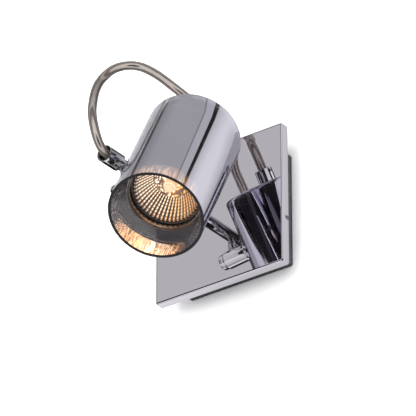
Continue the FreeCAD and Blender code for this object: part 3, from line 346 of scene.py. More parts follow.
# Finish helpers
class Signal:
    """What a shader node puts out, used in formulas like a plain number."""

    def __init__(self, socket):
        self.socket = socket
        self.tree = socket.id_data

    def calculate(self, operation, *others):
        node = add_node(self.tree, "Math", dict(enumerate((self, *others))), operation=operation)
        return Signal(node.outputs[0])

    def __add__(self, other):
        return self.calculate("ADD", other)

    def __sub__(self, other):
        return self.calculate("SUBTRACT", other)

    def __rsub__(self, other):
        node = add_node(self.tree, "Math", {0: other, 1: self}, operation="SUBTRACT")
        return Signal(node.outputs[0])

    def __mul__(self, other):
        return self.calculate("MULTIPLY", other)

    __radd__ = __add__
    __rmul__ = __mul__

    def size(self):
        return self.calculate("ABSOLUTE")

    def sine(self):
        return self.calculate("SINE")

    def cosine(self):
        return self.calculate("COSINE")

    def rise(self, start, end, low=0.0, high=1.0):
        """From low to high as the signal goes from start to end, and level beyond them."""
        inputs = {"Value": self, "From Min": start, "From Max": end, "To Min": low, "To Max": high}
        return Signal(add_node(self.tree, "MapRange", inputs).outputs["Result"])

    def fall(self, start, end, high=1.0, low=0.0):
        return self.rise(start, end, high, low)

    def between(self, first, second):
        """One between two soft edges, and nothing outside them."""
        return self.rise(*first) * self.fall(*second)

    def ramp(self, *stops):
        """Colours or grey levels at the given positions."""
        node = add_node(self.tree, "ValToRGB", {"Fac": self})
        while len(node.color_ramp.elements) < len(stops):
            node.color_ramp.elements.new(0.5)
        for element, (position, value) in zip(node.color_ramp.elements, stops):
            element.position = position
            element.color = (*([value] * 3 if isinstance(value, (int, float)) else value), 1)
        return Signal(node.outputs["Color"])


def feed(slot, value):
    """Set an input to a value, or link it to a signal."""
    if isinstance(value, Signal):
        slot.id_data.links.new(value.socket, slot)
    else:
        slot.default_value = value


def add_node(tree, kind, inputs=None, **settings):
    node = tree.nodes.new("ShaderNode" + kind)
    for key, value in settings.items():
        setattr(node, key, value)
    for key, value in (inputs or {}).items():
        feed(node.inputs[key], value)
    return node


def output(tree, kind, name, inputs=None, **settings):
    return Signal(add_node(tree, kind, inputs, **settings).outputs[name])


def largest(first, *others):
    for other in others:
        first = first.calculate("MAXIMUM", other)
    return first


def distance(x, y):
    return (x * x + y * y).calculate("SQRT")


def mixed(factor, first, second):
    """Number between two others."""
    return output(factor.tree, "Mix", 0, {0: factor, 2: first, 3: second}, data_type="FLOAT")


def mixed_colour(tree, factor, first, second, blend="MIX"):
    return output(tree, "Mix", 2, {0: factor, 6: first, 7: second}, data_type="RGBA", blend_type=blend)


def mixed_shader(factor, first, second):
    return output(factor.tree, "MixShader", "Shader", {"Fac": factor, 1: first, 2: second})


def coordinates(tree, place=None):
    """Object coordinates, or those seen from a local frame."""
    plain = output(tree, "TexCoord", "Object")
    if place is None:
        return plain
    inputs = {"Vector": plain, "Location": place.to_translation(), "Rotation": place.to_euler()}
    return output(tree, "Mapping", "Vector", inputs, vector_type="TEXTURE")


def axes(vector):
    parts = add_node(vector.tree, "SeparateXYZ", {"Vector": vector})
    return [Signal(part) for part in parts.outputs]


def head_coordinates(tree):
    """Angle round the head's axis, distance from the axis, and level along it."""
    x, y, level = axes(coordinates(tree, HEAD))
    return y.calculate("ARCTAN2", x), distance(x, y), level


def noise(tree, scale, detail=3.0, vector=None, roughness=0.5):
    inputs = {"Vector": vector or coordinates(tree), "Scale": scale, "Detail": detail, "Roughness": roughness}
    return output(tree, "TexNoise", "Fac", inputs)


def scaled_tone(tone, share):
    return [min(1, part * share) for part in tone]


def tinted(tone, *shares):
    return [part * share for part, share in zip(tone, shares)]


def relief(shader, height, depth, strength):
    inputs = {"Height": height, "Distance": depth, "Strength": strength}
    feed(shader.inputs["Normal"], output(shader.id_data, "Bump", "Normal", inputs))


def worn(shader, tone, scale, gloss, depth):
    """Colour and gloss that wander over the surface; gloss is the least and the greatest roughness."""
    patches = noise(shader.id_data, scale, 4)
    feed(shader.inputs["Base Color"], patches.ramp((0.35, scaled_tone(tone, 1 - depth)), (0.65, tone)))
    fine = noise(shader.id_data, scale * 3.7, 5)
    feed(shader.inputs["Roughness"], fine.rise(0.3, 0.7, *gloss))


SOCKETS = {
    "metallic": "Metallic",
    "roughness": "Roughness",
    "alpha": "Alpha",
    "ior": "IOR",
    "specular": "Specular IOR Level",
    "emission": "Emission Strength",
}
FINISH_STORE = {}


def finish(name, **settings):
    """A finish with its plain settings, made once and shared by its pieces."""
    def wrap(paint):
        def fetch():
            if name not in FINISH_STORE:
                material = bpy.data.materials.new(name)
                material.use_nodes = True
                shader = material.node_tree.nodes["Principled BSDF"]
                for key, value in settings.items():
                    shader.inputs[SOCKETS[key]].default_value = value
                paint(shader)
                FINISH_STORE[name] = material
            return FINISH_STORE[name]
        return fetch
    return wrap


# Finishes
@finish("polished_chrome", metallic=1)
def chrome(shader):
    worn(shader, finishes().chrome, 45, (0.025, 0.075), 0.03)
    relief(shader, noise(shader.id_data, 900, 2), 0.02 * MM, 0.05)


@finish("mirror_polished_plate", metallic=1)
def mirror_steel(shader):
    worn(shader, finishes().plate, 14, (0.012, 0.035), 0.02)


@finish("mirrored_glass_outside", metallic=1, alpha=0.78)
def outer_film(shader):
    worn(shader, finishes().glass, 22, (0.008, 0.02), 0.04)


@finish("mirrored_glass_inside", metallic=1, alpha=0.74, emission=2.6)
def inner_film(shader):
    """Inner face of the glass, with painted glow: emission streaks near the rim that stand in for the light
    the lamp throws on it.
    """
    worn(shader, (0.86, 0.79, 0.77), 22, (0.006, 0.014), 0.04)
    tree = shader.id_data
    turn, _, level = head_coordinates(tree)
    round_glass, along_glass = 15.0, 55.0
    layout = output(tree, "CombineXYZ", "Vector", {"X": turn * round_glass, "Y": level * along_glass})
    streaks = noise(tree, 1.6, 4, layout, 0.55).rise(0.42, 0.62, low=0.10)
    rear_side = (turn + 0.80).cosine().rise(0.62, 0.86)
    front_side = (turn + -2.45).cosine().rise(0.62, 0.97, high=0.80)
    fade = level.rise(-73 * MM, -57 * MM).ramp((0.0, 1.0), (0.55, 0.7), (1.0, 0.0))
    # Painted glow: emission streaks on two sides of the inner face, strongest at the rim and fading away from
    # it.
    painted_glow = streaks * fade * (rear_side + front_side)
    gold = finishes().glow
    feed(shader.inputs["Emission Color"], painted_glow.ramp(
        (0.0, 0.0), (0.4, tinted(gold, 0.5, 0.30, 0.22)), (0.75, tinted(gold, 1.0, 0.82, 0.7)),
        (1.0, (1.0, 0.93, 0.78))))


@finish("dark_cut_glass_edge", ior=1.52)
def cut_edge(shader):
    worn(shader, (0.012, 0.012, 0.015), 120, (0.08, 0.2), 0.3)


@finish("zinc_coated_sheet", metallic=0.8)
def zinc_sheet(shader):
    tree = shader.id_data
    inputs = {"Vector": coordinates(tree), "Scale": 260.0}
    flakes = output(tree, "TexVoronoi", "Color", inputs, feature="F1")
    # The zinc tone is darkened to stand in for the shade behind the plate.
    zinc = finishes().zinc
    feed(shader.inputs["Base Color"], flakes.ramp((0.1, scaled_tone(zinc, 0.84)), (0.9, scaled_tone(zinc, 1.1))))
    feed(shader.inputs["Roughness"], flakes.rise(0, 1, 0.34, 0.5))
    relief(shader, noise(tree, 700, 3), 0.04 * MM, 0.2)


@finish("bright_screw_steel", metallic=1)
def screw_steel(shader):
    worn(shader, (0.42, 0.42, 0.43), 500, (0.22, 0.38), 0.2)


@finish("plain_brass", metallic=1)
def brass(shader):
    worn(shader, (0.72, 0.53, 0.24), 400, (0.2, 0.4), 0.25)


@finish("black_rubber", specular=0.4)
def soft_black(shader):
    worn(shader, (0.025, 0.025, 0.027), 300, (0.5, 0.7), 0.3)
    relief(shader, noise(shader.id_data, 2500, 3), 0.05 * MM, 0.4)


@finish("white_moulded_block")
def block_white(shader):
    worn(shader, (0.74, 0.73, 0.69), 200, (0.35, 0.5), 0.06)


@finish("spun_aluminium", metallic=1)
def aluminium(shader):
    """Fine lines round the can, as a spinning tool leaves them."""
    tree = shader.id_data
    level = axes(coordinates(tree, HEAD))[2]
    lines = noise(tree, 2600, 2, output(tree, "CombineXYZ", "Vector", {"Z": level}))
    tone = finishes().aluminium
    feed(shader.inputs["Base Color"], lines.ramp((0.3, scaled_tone(tone, 0.8)), (0.7, tone)))
    feed(shader.inputs["Roughness"], lines.rise(0.3, 0.7, 0.22, 0.36))
    relief(shader, lines, 0.04 * MM, 0.3)


@finish("white_ceramic")
def ceramic(shader):
    worn(shader, (0.78, 0.76, 0.70), 260, (0.45, 0.65), 0.08)
    relief(shader, noise(shader.id_data, 1800, 3), 0.04 * MM, 0.3)


@finish("clear_cover_glass", alpha=0.12, ior=1.5)
def clear_glass(shader):
    worn(shader, (0.06, 0.06, 0.065), 60, (0.02, 0.06), 0.05)


@finish("pressed_glass_rim")
def rim_glass(shader):
    worn(shader, (0.10, 0.092, 0.088), 260, (0.15, 0.3), 0.15)


@finish("satin_bezel_steel", metallic=1)
def bezel_steel(shader):
    worn(shader, (0.33, 0.32, 0.34), 300, (0.16, 0.26), 0.15)


@finish("lit_lamp_mirror", metallic=1, roughness=0.12)
def lamp_mirror(shader):
    """Painted glow and reflections of the burner: lit flutes with beads on them, a mottled zone round the
    throat, and rings within it.
    """
    tree = shader.id_data
    turn, reach, _ = head_coordinates(tree)
    bead_step, ring_step, flutes_start = 1.25 * MM, 1.9 * MM, 13.5 * MM
    cells_round, cells_outwards = 5.7, 800.0
    flutes = (turn * float(sizes().flutes)).cosine().rise(0.0, 0.75)
    beads = (reach * (2 * math.pi / bead_step)).sine().rise(-1.0, 0.5, low=0.50)
    layout = output(tree, "CombineXYZ", "Vector", {"X": turn * cells_round, "Y": reach * cells_outwards})
    cells = output(tree, "TexVoronoi", "Distance", {"Vector": layout, "Scale": 1.0}, feature="F1")
    mottle = cells.fall(0.15, 0.62, low=0.05)
    rings = (reach * (2 * math.pi / ring_step)).sine().rise(-1.0, 1.0, low=0.55)
    pattern = mixed(reach.calculate("LESS_THAN", flutes_start), flutes * beads, mottle)
    pattern = mixed(reach.fall(7.8 * MM, 9.2 * MM), pattern, rings)
    outwards = reach.rise(5 * MM, 23.5 * MM).ramp((0.0, 1.0), (0.35, 0.8), (0.8, 0.74), (1.0, 0.4))
    # Painted light: the glow is brighter and silver on one side of the mirror, dimmer and golden on the
    # other.
    right_side = (turn + -0.4).cosine()
    level = pattern * outwards * right_side.fall(-0.4, 0.95, low=0.36)
    glow = finishes().glow
    gold = level.ramp((0.0, (0.016, 0.012, 0.010)), (0.22, tinted(glow, 0.22, 0.10, 0.04)),
                      (0.5, tinted(glow, 0.80, 0.52, 0.32)), (0.8, glow))
    silver = level.ramp((0.0, (0.010, 0.010, 0.011)), (0.26, (0.045, 0.042, 0.042)),
                        (0.5, (0.30, 0.29, 0.29)), (0.8, (1.0, 0.90, 0.78)))
    tone = mixed_colour(tree, right_side.fall(-0.95, 0.0, high=0.85), gold, silver)
    feed(shader.inputs["Emission Color"], tone)
    shader.inputs["Emission Strength"].default_value = finishes().glow_strength
    # The base colour follows the same painted glow pattern.
    feed(shader.inputs["Base Color"], level.ramp((0.0, 0.25), (1.0, 0.8)))


@finish("lit_quartz_capsule", roughness=0.1, emission=1.05)
def lit_capsule(shader):
    """Bright rings one inside the other, as the capsule shows them in the lamp's throat."""
    _, reach, _ = head_coordinates(shader.id_data)
    rim = tinted(finishes().glow, 0.8, 0.55, 0.4)
    bright, brightest = (1, 0.9, 0.68), (1, 0.93, 0.75)
    rings = reach.rise(0.0, 4.8 * MM).ramp(
        (0.0, rim), (0.16, bright), (0.30, rim), (0.46, brightest), (0.60, rim), (0.76, bright), (1.0, rim))
    feed(shader.inputs["Emission Color"], rings)
    feed(shader.inputs["Base Color"], rings)


@finish("braided_metal_strands", metallic=0.75)
def braid_metal(shader):
    """Six wires side by side in each strand, darker between the wires as painted shade in the grooves."""
    tree = shader.id_data
    across = axes(output(tree, "UVMap", "UV", uv_map="strand"))[0]
    wires = (across * (6 * 2 * math.pi)).sine()
    tone = finishes().braid
    # Painted shade: the tone darkens where the wires meet.
    feed(shader.inputs["Base Color"], wires.rise(-1.0, 1.0).ramp((0.0, scaled_tone(tone, 0.62)), (0.6, tone)))
    feed(shader.inputs["Roughness"], noise(tree, 900, 3).rise(0.3, 0.7, 0.22, 0.4))
    relief(shader, wires, 0.06 * MM, 0.6)


@finish("dark_flex_core")
def dark_core(shader):
    worn(shader, (0.11, 0.098, 0.09), 500, (0.4, 0.6), 0.3)


@finish("clear_flex_sheath", roughness=0.12, alpha=0.78)
def clear_sheath(shader):
    """Painted highlights: lengthwise light and dark lines, set by how squarely the sheath faces the viewer,
    bright near the edges and in the middle, in place of the sheen of a clear sheath over its braid.
    """
    tree = shader.id_data
    # Painted highlights and dark lines in the base colour, by facing.
    lines = output(tree, "LayerWeight", "Facing", {"Blend": 0.5}).ramp(
        (0.0, (0.085, 0.070, 0.064)), (0.014, (0.11, 0.09, 0.082)), (0.035, (0.72, 0.66, 0.62)),
        (0.10, (0.58, 0.52, 0.48)), (0.17, (0.17, 0.145, 0.13)), (0.30, (0.15, 0.125, 0.11)),
        (0.40, (0.46, 0.41, 0.38)), (0.55, (0.08, 0.065, 0.058)), (0.75, (0.34, 0.32, 0.31)))
    mottle = noise(tree, 260, 3).ramp((0.3, 0.86), (0.7, 1.0))
    feed(shader.inputs["Base Color"], mixed_colour(tree, 1, lines, mottle, "MULTIPLY"))


@finish("dark_studio_cloth")
def studio_cloth(shader):
    worn(shader, (0.003, 0.003, 0.003), 20, (0.8, 0.95), 0.2)


@finish("studio_wall", roughness=0.9, specular=0.0)
def studio_wall(shader):
    """Pale to the camera, with light and dark zones in mirrored surfaces, and clear from behind."""
    tree = shader.id_data
    tone = finishes().wall
    feed(shader.inputs["Base Color"], noise(tree, 6, 3).ramp((0.3, scaled_tone(tone, 0.98)), (0.7, tone)))
    paint = [output(tree, "BsdfDiffuse", "BSDF", {"Color": (*[grey] * 3, 1)}) for grey in (0.80, 0.66)]
    pale = output(tree, "AddShader", "Shader", {0: paint[0], 1: paint[1]})
    mirrored = output(tree, "Emission", "Emission", {"Color": wall_in_reflections(tree)})
    rays = add_node(tree, "LightPath").outputs
    seen = mixed_shader(Signal(rays["Is Camera Ray"]), Signal(shader.outputs["BSDF"]), pale)
    seen = mixed_shader(Signal(rays["Is Glossy Ray"]), seen, mirrored)
    behind = output(tree, "NewGeometry", "Backfacing")
    seen = mixed_shader(behind, seen, output(tree, "BsdfTransparent", "BSDF"))
    feed(tree.nodes["Material Output"].inputs["Surface"], seen)


def wall_in_reflections(tree):
    """Light and dark zones of wall and floor, in metres, that only mirrored surfaces see, with a painted
    shadow round the plate, painted shade under it and a painted pool of light below it.
    """
    x, y, z = axes(coordinates(tree))
    up_wall = z.rise(-0.3, 0.7).ramp(
        (0.0, 0.80), (0.38, 0.86), (0.41, 0.84), (0.46, 0.70), (0.50, 0.58), (0.57, 0.52), (0.825, 0.50),
        (0.84, 0.20), (0.89, 0.24), (0.91, 0.40))
    slant = z.fall(-0.060, -0.011, -0.17, -0.50)
    dark_left = (x - slant).rise(0.0, 0.03) * x.fall(-0.105, -0.085)
    dark_left *= z.between((-0.075, -0.060), (0.03, 0.06))
    beside = largest(x.size(), z.size())
    # Painted shadow close round the plate, painted shade from just under the plate upward across the box's
    # width, and a painted pool of light below the plate, stronger to the left.
    painted_shadow_near = beside.rise(0.060, 0.095, low=0.70)
    painted_light_below = z.fall(-0.064, -0.060) * beside.fall(0.09, 0.13) * x.fall(-0.08, 0.0, 0.42, 0.02)
    painted_shade_under = z.rise(-0.066, -0.061, high=0.95) * x.size().fall(0.045, 0.050)
    wall = up_wall * (1.0 - dark_left) * painted_shadow_near * (1.0 + painted_light_below) * (1.0 - painted_shade_under)
    on_wall = y.rise(-0.25, -0.02) * z.rise(-1.5, -1.4)
    return wall * on_wall + floor_in_reflections(x, y) * (1.0 - on_wall)


def floor_in_reflections(x, y):
    """Dark floor with grey bands far off, two grey strips, a lit patch and a thin bright line."""
    bands = x.rise(-3.2, 1.8).ramp(
        (0.04, 0.012), (0.08, 0.05), (0.26, 0.065), (0.32, 0.012), (0.75, 0.010), (0.776, 0.17), (0.88, 0.19),
        (0.93, 0.012))
    far = bands * y.fall(-2.5, -2.3)
    right = 0.42 * x.between((1.15, 1.35), (1.85, 2.05)) * y.between((-2.4, -2.2), (-1.3, -1.1))
    strip = 0.5 * x.between((-1.1, -0.9), (-0.44, -0.38)) * y.rise(-1.3, -1.1)
    patch = distance(x + 1.2, y + 1.16).fall(0.42, 0.62, high=1.4)
    off_line = (y + x * -0.19 + 2.62).size()
    line = off_line.fall(0.009, 0.018, high=2.6) * x.between((-2.0, -1.4), (-0.95, -0.85))
    return largest(line, 0.010, far, patch, right, strip)


def room_in_reflections(x, y, z):
    """Studio panels and ceiling by direction, which only mirrored surfaces see."""
    panel = 0.57 * x.between((-0.66, -0.58), (-0.46, -0.40)) * z.between((0.38, 0.43), (0.56, 0.62))
    panel *= y.fall(-0.50, -0.40)
    low_panel = 0.50 * x.between((-0.46, -0.40), (0.22, 0.34)) * y.fall(-0.84, -0.78) * z.rise(0.30, 0.36)
    white_spot = 1.4 * x.rise(0.45, 0.55) * z.between((0.36, 0.42), (0.58, 0.64))
    white_spot *= y.between((-0.66, -0.60), (-0.34, -0.26))
    dark_gap = x.rise(-0.6, 0.0).ramp((0.09, 1.0), (0.12, 0.16), (0.18, 0.16), (0.21, 0.74), (0.62, 1.0))
    ceiling = z.rise(0.55, 0.70, high=0.42) * dark_gap
    left = x.fall(-0.97, -0.93, high=0.50)
    return largest(panel, low_panel, ceiling, left, 0.02, white_spot)


class SPOTLIGHT_OT_stage(bpy.types.Operator):
    """Set up the wall, the floor, the soft light and the camera"""

    bl_idname = "spotlight.stage"
    bl_label = "Stage, Light and Camera"

    def execute(self, context):
        scene = context.scene
        scene.view_settings.view_transform = "Standard"
        self.make_camera(scene)
        self.make_backdrop()
        self.make_bar()
        self.make_key_light(scene)
        self.make_world(scene)
        return {"FINISHED"}

    def make_camera(self, scene):
        """Camera fitted to the photograph, by its right, up and back directions and its place in metres."""
        right, up = (0.803482, 0.595327, -0.001565), (0.290799, -0.390181, 0.87361)
        back = (0.519474, -0.702385, -0.486624)
        place = Matrix.Translation((1.70818, -2.34883, -1.6012))
        data = bpy.data.cameras.new("photo_camera")
        data.lens, data.sensor_width, data.sensor_fit = 408.63, 36, "HORIZONTAL"
        data.clip_start, data.clip_end = 0.05, 50
        camera = bpy.data.objects.new("photo_camera", data)
        scene.collection.objects.link(camera)
        turn = Matrix((right, up, back)).transposed().to_quaternion().to_matrix().to_4x4()
        camera.matrix_world = place @ turn
        scene.camera = camera

    def make_backdrop(self):
        """A wall with a square hole behind the box, drawn out to its edges and folded forward as a floor."""
        hole, behind, greatest_hole_area = 0.084, 0.0005, 0.0072
        widen, widen_floor, floor_depth = 31, 2.2, 4
        lower_top, lower_foot = 0.652, 0.298
        deselect()
        bpy.ops.mesh.primitive_plane_add(size=hole, location=(0, behind, 0), rotation=(math.pi / 2, 0, 0))
        wall = name_piece("studio_wall_and_floor")
        apply_place()
        mode("EDIT")
        bpy.ops.mesh.select_all(action="SELECT")
        bpy.ops.mesh.extrude_edges_move(TRANSFORM_OT_translate={"value": (0, 0, 0)})
        bpy.ops.transform.resize(value=(widen, 1, widen), center_override=(0, behind, 0))
        pick_vertices(wall, lambda point: point.z > 0.5)
        bpy.ops.transform.translate(value=(0, 0, -lower_top))
        pick_vertices(wall, lambda point: point.z < -0.5)
        bpy.ops.transform.translate(value=(0, 0, -lower_foot))
        bpy.ops.mesh.extrude_edges_move(TRANSFORM_OT_translate={"value": (0, -floor_depth, 0)})
        bpy.ops.transform.resize(value=(widen_floor, 1, 1), center_override=(0, 0, 0))
        mode("OBJECT")
        for face in wall.data.polygons:
            face.select = len(face.vertices) == 4 and face.area < greatest_hole_area
        pick(wall)
        mode("EDIT")
        bpy.ops.mesh.delete(type="FACE")
        close_mesh(merge=0.1 * MM)
        if any(face.normal.y > 0.5 for face in wall.data.polygons):
            mode("EDIT")
            bpy.ops.mesh.select_all(action="SELECT")
            bpy.ops.mesh.flip_normals()
            mode("OBJECT")
        wall.data.materials.append(studio_wall())

    def make_bar(self):
        """Dark cloth on the wall above the spotlight, which only mirrored surfaces see."""
        deselect()
        bpy.ops.mesh.primitive_plane_add(size=1, location=(0.30, -0.004, 0.238), rotation=(math.pi / 2, 0, 0))
        bar = name_piece("dark_studio_bar")
        bpy.ops.transform.resize(value=(0.40, 1, 0.064))
        apply_place()
        bar.data.materials.append(studio_cloth())
        bar.visible_camera = bar.visible_diffuse = bar.visible_shadow = bar.visible_transmission = False

    def make_key_light(self, scene):
        """Large soft disc in front of the spotlight and a little to its right, turned to the plate."""
        data = bpy.data.lights.new("soft_key", "AREA")
        data.shape, data.size, data.energy = "DISK", 2.6, 46
        data.color = (1.0, 0.985, 0.97)
        key = bpy.data.objects.new("soft_key", data)
        scene.collection.objects.link(key)
        key.location = (0.60, -2.40, -0.10)
        key.rotation_euler = (-Vector(key.location)).to_track_quat("-Z", "Y").to_euler()
        key.visible_glossy = False

    def make_world(self, scene):
        """White to the camera and through glass, soft light on surfaces, and the room in mirrored ones."""
        world = bpy.data.worlds.new("studio_room")
        scene.world = world
        world.use_nodes = True
        tree = world.node_tree
        room = tree.nodes["Background"]
        feed(room.inputs["Color"], room_in_reflections(*axes(output(tree, "TexCoord", "Generated"))))
        soft = output(tree, "Background", "Background", {"Color": (0.65, 0.65, 0.66, 1), "Strength": 1.0})
        white = output(tree, "Background", "Background", {"Color": (1, 1, 1, 1), "Strength": 1.0})
        rays = add_node(tree, "LightPath").outputs
        through = largest(Signal(rays["Is Camera Ray"]), Signal(rays["Is Transmission Ray"]))
        seen = mixed_shader(Signal(rays["Is Glossy Ray"]), soft, Signal(room.outputs["Background"]))
        feed(tree.nodes["World Output"].inputs["Surface"], mixed_shader(through, seen, white))


class SPOTLIGHT_OT_flex(bpy.types.Operator):
    """Lay the flex: a dark core, a braid of crossing strands and a clear sheath on the route's curve"""

    bl_idname = "spotlight.flex"
    bl_label = "Braided Flex"

    def execute(self, context):
        size = sizes()
        core_depth, braid_depth, point_count = 0.55 * MM, 0.36 * MM, 545
        line = self.route_line(context)
        points = self.even_points(line, point_count)
        bpy.data.objects.remove(line)
        sheath = self.tube(context, "flex_sheath", size.flex_width / 2)
        core = self.tube(context, "flex_core", size.flex_width / 2 - core_depth)
        braid = self.braid(context, points, size.flex_width / 2 - braid_depth)
        for piece, material in ((sheath, clear_sheath()), (core, dark_core()), (braid, braid_metal())):
            piece.data.materials.clear()
            piece.data.materials.append(material)
            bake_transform(piece)
        length = sum((after - point).length for point, after in zip(points, points[1:]))
        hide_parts("flex_cable")
        return {"FINISHED"}

    def route_line(self, context):
        curve = bpy.data.curves.new("flex_route", "CURVE")
        curve.dimensions = "3D"
        curve.resolution_u = 40
        spline = curve.splines.new("NURBS")
        spline.points.add(len(ROUTE) - 1)
        for point, place in zip(spline.points, ROUTE):
            point.co = (*place, 1)
        spline.order_u = 3
        spline.use_endpoint_u = True
        line = bpy.data.objects.new("flex_route", curve)
        context.scene.collection.objects.link(line)
        context.view_layer.update()
        return line

    def even_points(self, line, count):
        """Points read from the route's curve, at even steps along it."""
        mesh = bpy.data.meshes.new_from_object(line)
        read = [vertex.co.copy() for vertex in mesh.vertices]
        bpy.data.meshes.remove(mesh)
        reached = [0.0]
        for first, second in zip(read, read[1:]):
            reached.append(reached[-1] + (second - first).length)
        points, index = [], 0
        for step in range(count):
            target = reached[-1] * step / (count - 1)
            while index < len(read) - 2 and reached[index + 1] < target:
                index += 1
            share = (target - reached[index]) / (reached[index + 1] - reached[index])
            points.append(read[index].lerp(read[index + 1], share))
        return points

    def tube(self, context, name, radius):
        line = self.route_line(context)
        line.data.resolution_u = 16
        line.data.bevel_depth = radius
        line.data.bevel_resolution = 10
        line.data.use_fill_caps = True
        pick(line)
        bpy.ops.object.convert(target="MESH")
        tube = name_piece(name)
        mode("EDIT")
        close_mesh(merge=0.005 * MM)
        smooth(40)
        return tube

    def braid(self, context, points, radius):
        """Strands that pass over and under each other round the flex, each one a flat closed ribbon."""
        size = sizes()
        vertices, faces, layout = [], [], []
        tangents, normals = self.directions(points)
        step = (points[-1] - points[-2]).length
        wave = 2 * math.pi * step / size.braid_pitch
        for direction in (1, -1):
            for strand in range(size.strands):
                first = len(vertices)
                for index, point in enumerate(points):
                    turn = 2 * math.pi * strand / size.strands + direction * wave * index
                    side = tangents[index].cross(normals[index])
                    out = normals[index] * math.cos(turn) + side * math.sin(turn)
                    round_way = tangents[index].cross(out) * direction
                    weave = direction * math.cos(size.strands * wave * index) * size.strand_gauge * 0.6
                    run = (tangents[index] * step + round_way * radius * wave).normalized()
                    centre = point + out * (radius + weave)
                    vertices += self.ribbon_section(centre, run.cross(out), out)
                self.ribbon_faces(first, len(points), faces, layout)
        mesh = bpy.data.meshes.new("flex_braid")
        mesh.from_pydata(vertices, [], faces)
        uv = mesh.uv_layers.new(name="strand")
        for loop, place in zip(uv.data, layout):
            loop.uv = place
        braid = bpy.data.objects.new("flex_braid", mesh)
        context.scene.collection.objects.link(braid)
        pick(braid)
        mode("EDIT")
        close_mesh()
        smooth(50)
        return braid

    def directions(self, points):
        """At each point, the way along the flex and a way square to it that doesn't twist."""
        tangents, normals = [], []
        for index in range(len(points)):
            ahead, behind = points[min(index + 1, len(points) - 1)], points[max(index - 1, 0)]
            tangents.append((ahead - behind).normalized())
        normal = tangents[0].orthogonal().normalized()
        for tangent in tangents:
            normal = (normal - tangent * normal.dot(tangent)).normalized()
            normals.append(normal)
        return tangents, normals

    def ribbon_section(self, centre, wide, out):
        """Four corners of a strand, narrower on its outer face."""
        across, lift = sizes().strand_width / 2, sizes().strand_gauge / 2
        corners = ((-1, -1), (1, -1), (0.55, 1), (-0.55, 1))
        return [centre + wide * across * right + out * lift * up for right, up in corners]

    def ribbon_faces(self, first, count, faces, layout):
        """Sides and ends of a strand, with a layout that runs once across the strand."""
        across = (0.0, 1.0, 0.78, 0.22, 0.0)
        for index in range(count - 1):
            here, there = first + 4 * index, first + 4 * index + 4
            for corner in range(4):
                after = (corner + 1) % 4
                faces.append((here + corner, here + after, there + after, there + corner))
                start, end = across[corner], across[corner + 1]
                layout += [(start, index), (end, index), (end, index + 1), (start, index + 1)]
        last = first + 4 * (count - 1)
        faces.append((first, first + 3, first + 2, first + 1))
        faces.append((last, last + 1, last + 2, last + 3))
        layout += [(0.0, 0.0)] * 8


class SPOTLIGHT_OT_glass(bpy.types.Operator):
    """Turn the mirrored glass: a cylinder with a rounded, closed rear end and a dark cut rim"""

    bl_idname = "spotlight.glass"
    bl_label = "Mirrored Glass"

    def execute(self, context):
        size = sizes()
        low, high, hole, outer = span("shade_glass", HEAD)
        wall, floor, corner = size.glass_wall, size.glass_floor, size.glass_round
        bevel, inner_round, axle_hole = 0.25 * MM, 2 * MM, 3.3 * MM
        screw_angle, screw_level, screw_hole = 83, 5.3 * MM, 1.8 * MM
        inner = outer - wall
        levels = [low + (high - corner - low) * step / 6 for step in range(1, 6)]
        rings = [(inner + bevel, low), (outer - bevel, low), (outer, low + bevel)]
        rings += [(outer, level) for level in levels]
        rings += high_edge(outer, high, corner, 10)
        rings += [(hole, high), (hole, high - floor)]
        rings += rounded(inner - inner_round, high - floor - inner_round, inner_round, 90, 0)
        rings += [(inner, level) for level in reversed(levels)]
        rings += [(inner, low + bevel)]
        glass = lathe("mirrored_glass", rings, HEAD, sides=192)
        cut(glass, radial(HEAD, screw_angle, screw_level, outer), screw_hole, WALL_CUT)
        cut(glass, PIVOT @ along(outer), axle_hole, WALL_CUT)
        soften(glass, 40, weighted=False)
        outside, inside, rim = range(3)
        hand_over(glass, "head", "mirrored_glass", [outer_film(), inner_film(), cut_edge()], "shade_glass")
        for face in glass.data.polygons:
            reach, level = head_polar(face.center)
            if level < low + 0.3 * MM:
                face.material_index = rim
            elif reach > outer - wall / 2 or level > high - floor / 2:
                face.material_index = outside
            else:
                face.material_index = inside
        return {"FINISHED"}


class SPOTLIGHT_OT_plate(bpy.types.Operator):
    """Fold the mirror plate: a shallow pan with bent edges, a stem hole and two side notches"""

    bl_idname = "spotlight.plate"
    bl_label = "Mirror Plate"

    def execute(self, context):
        size = sizes()
        low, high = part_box("canopy_plate")
        extent = high - low
        deselect()
        bpy.ops.mesh.primitive_cube_add(size=1, location=(low + high) / 2)
        plate = name_piece("mirror_plate")
        bpy.ops.transform.resize(value=extent)
        apply_place()
        mode("EDIT")
        bpy.ops.mesh.select_mode(type="FACE")
        bpy.ops.mesh.select_all(action="DESELECT")
        mode("OBJECT")
        for face in plate.data.polygons:
            face.select = face.normal.y > 0.5
        mode("EDIT")
        bpy.ops.mesh.delete(type="FACE")
        mode("OBJECT")
        apply_modifier(plate, "BEVEL", width=size.plate_bend, segments=6, limit_method="ANGLE",
                       angle_limit=math.radians(30), profile=0.5)
        apply_modifier(plate, "SOLIDIFY", thickness=size.plate_gauge, offset=-1.0, use_even_offset=True)
        bush_hole = 5.75 * MM
        cut(plate, STEM @ along(-1 * MM), bush_hole, WALL_CUT, 64)
        for side in (-1, 1):
            self.cut_notch(plate, side * extent.x / 2, high.y)
        soften(plate, 30)
        hand_over(plate, "wall_plate", "plate_mirror", [mirror_steel()], "canopy_plate")
        return {"FINISHED"}

    def cut_notch(self, plate, side, back):
        """Slot for a side screw, open at the pan's back edge and round at its end."""
        level, depth, width, reach = -19 * MM, 2.2 * MM, 3.3 * MM, 5 * MM
        end = local_frame((side, back, level), (90, "Y")) @ Matrix.Translation((0, -depth, 0))
        cut(plate, end, width / 2, reach)
        deselect()
        bpy.ops.mesh.primitive_cube_add(size=1, location=(side, back, level))
        cutter = name_piece("cutter")
        bpy.ops.transform.resize(value=(reach, 2 * depth, width))
        apply_place()
        subtract(plate, cutter)


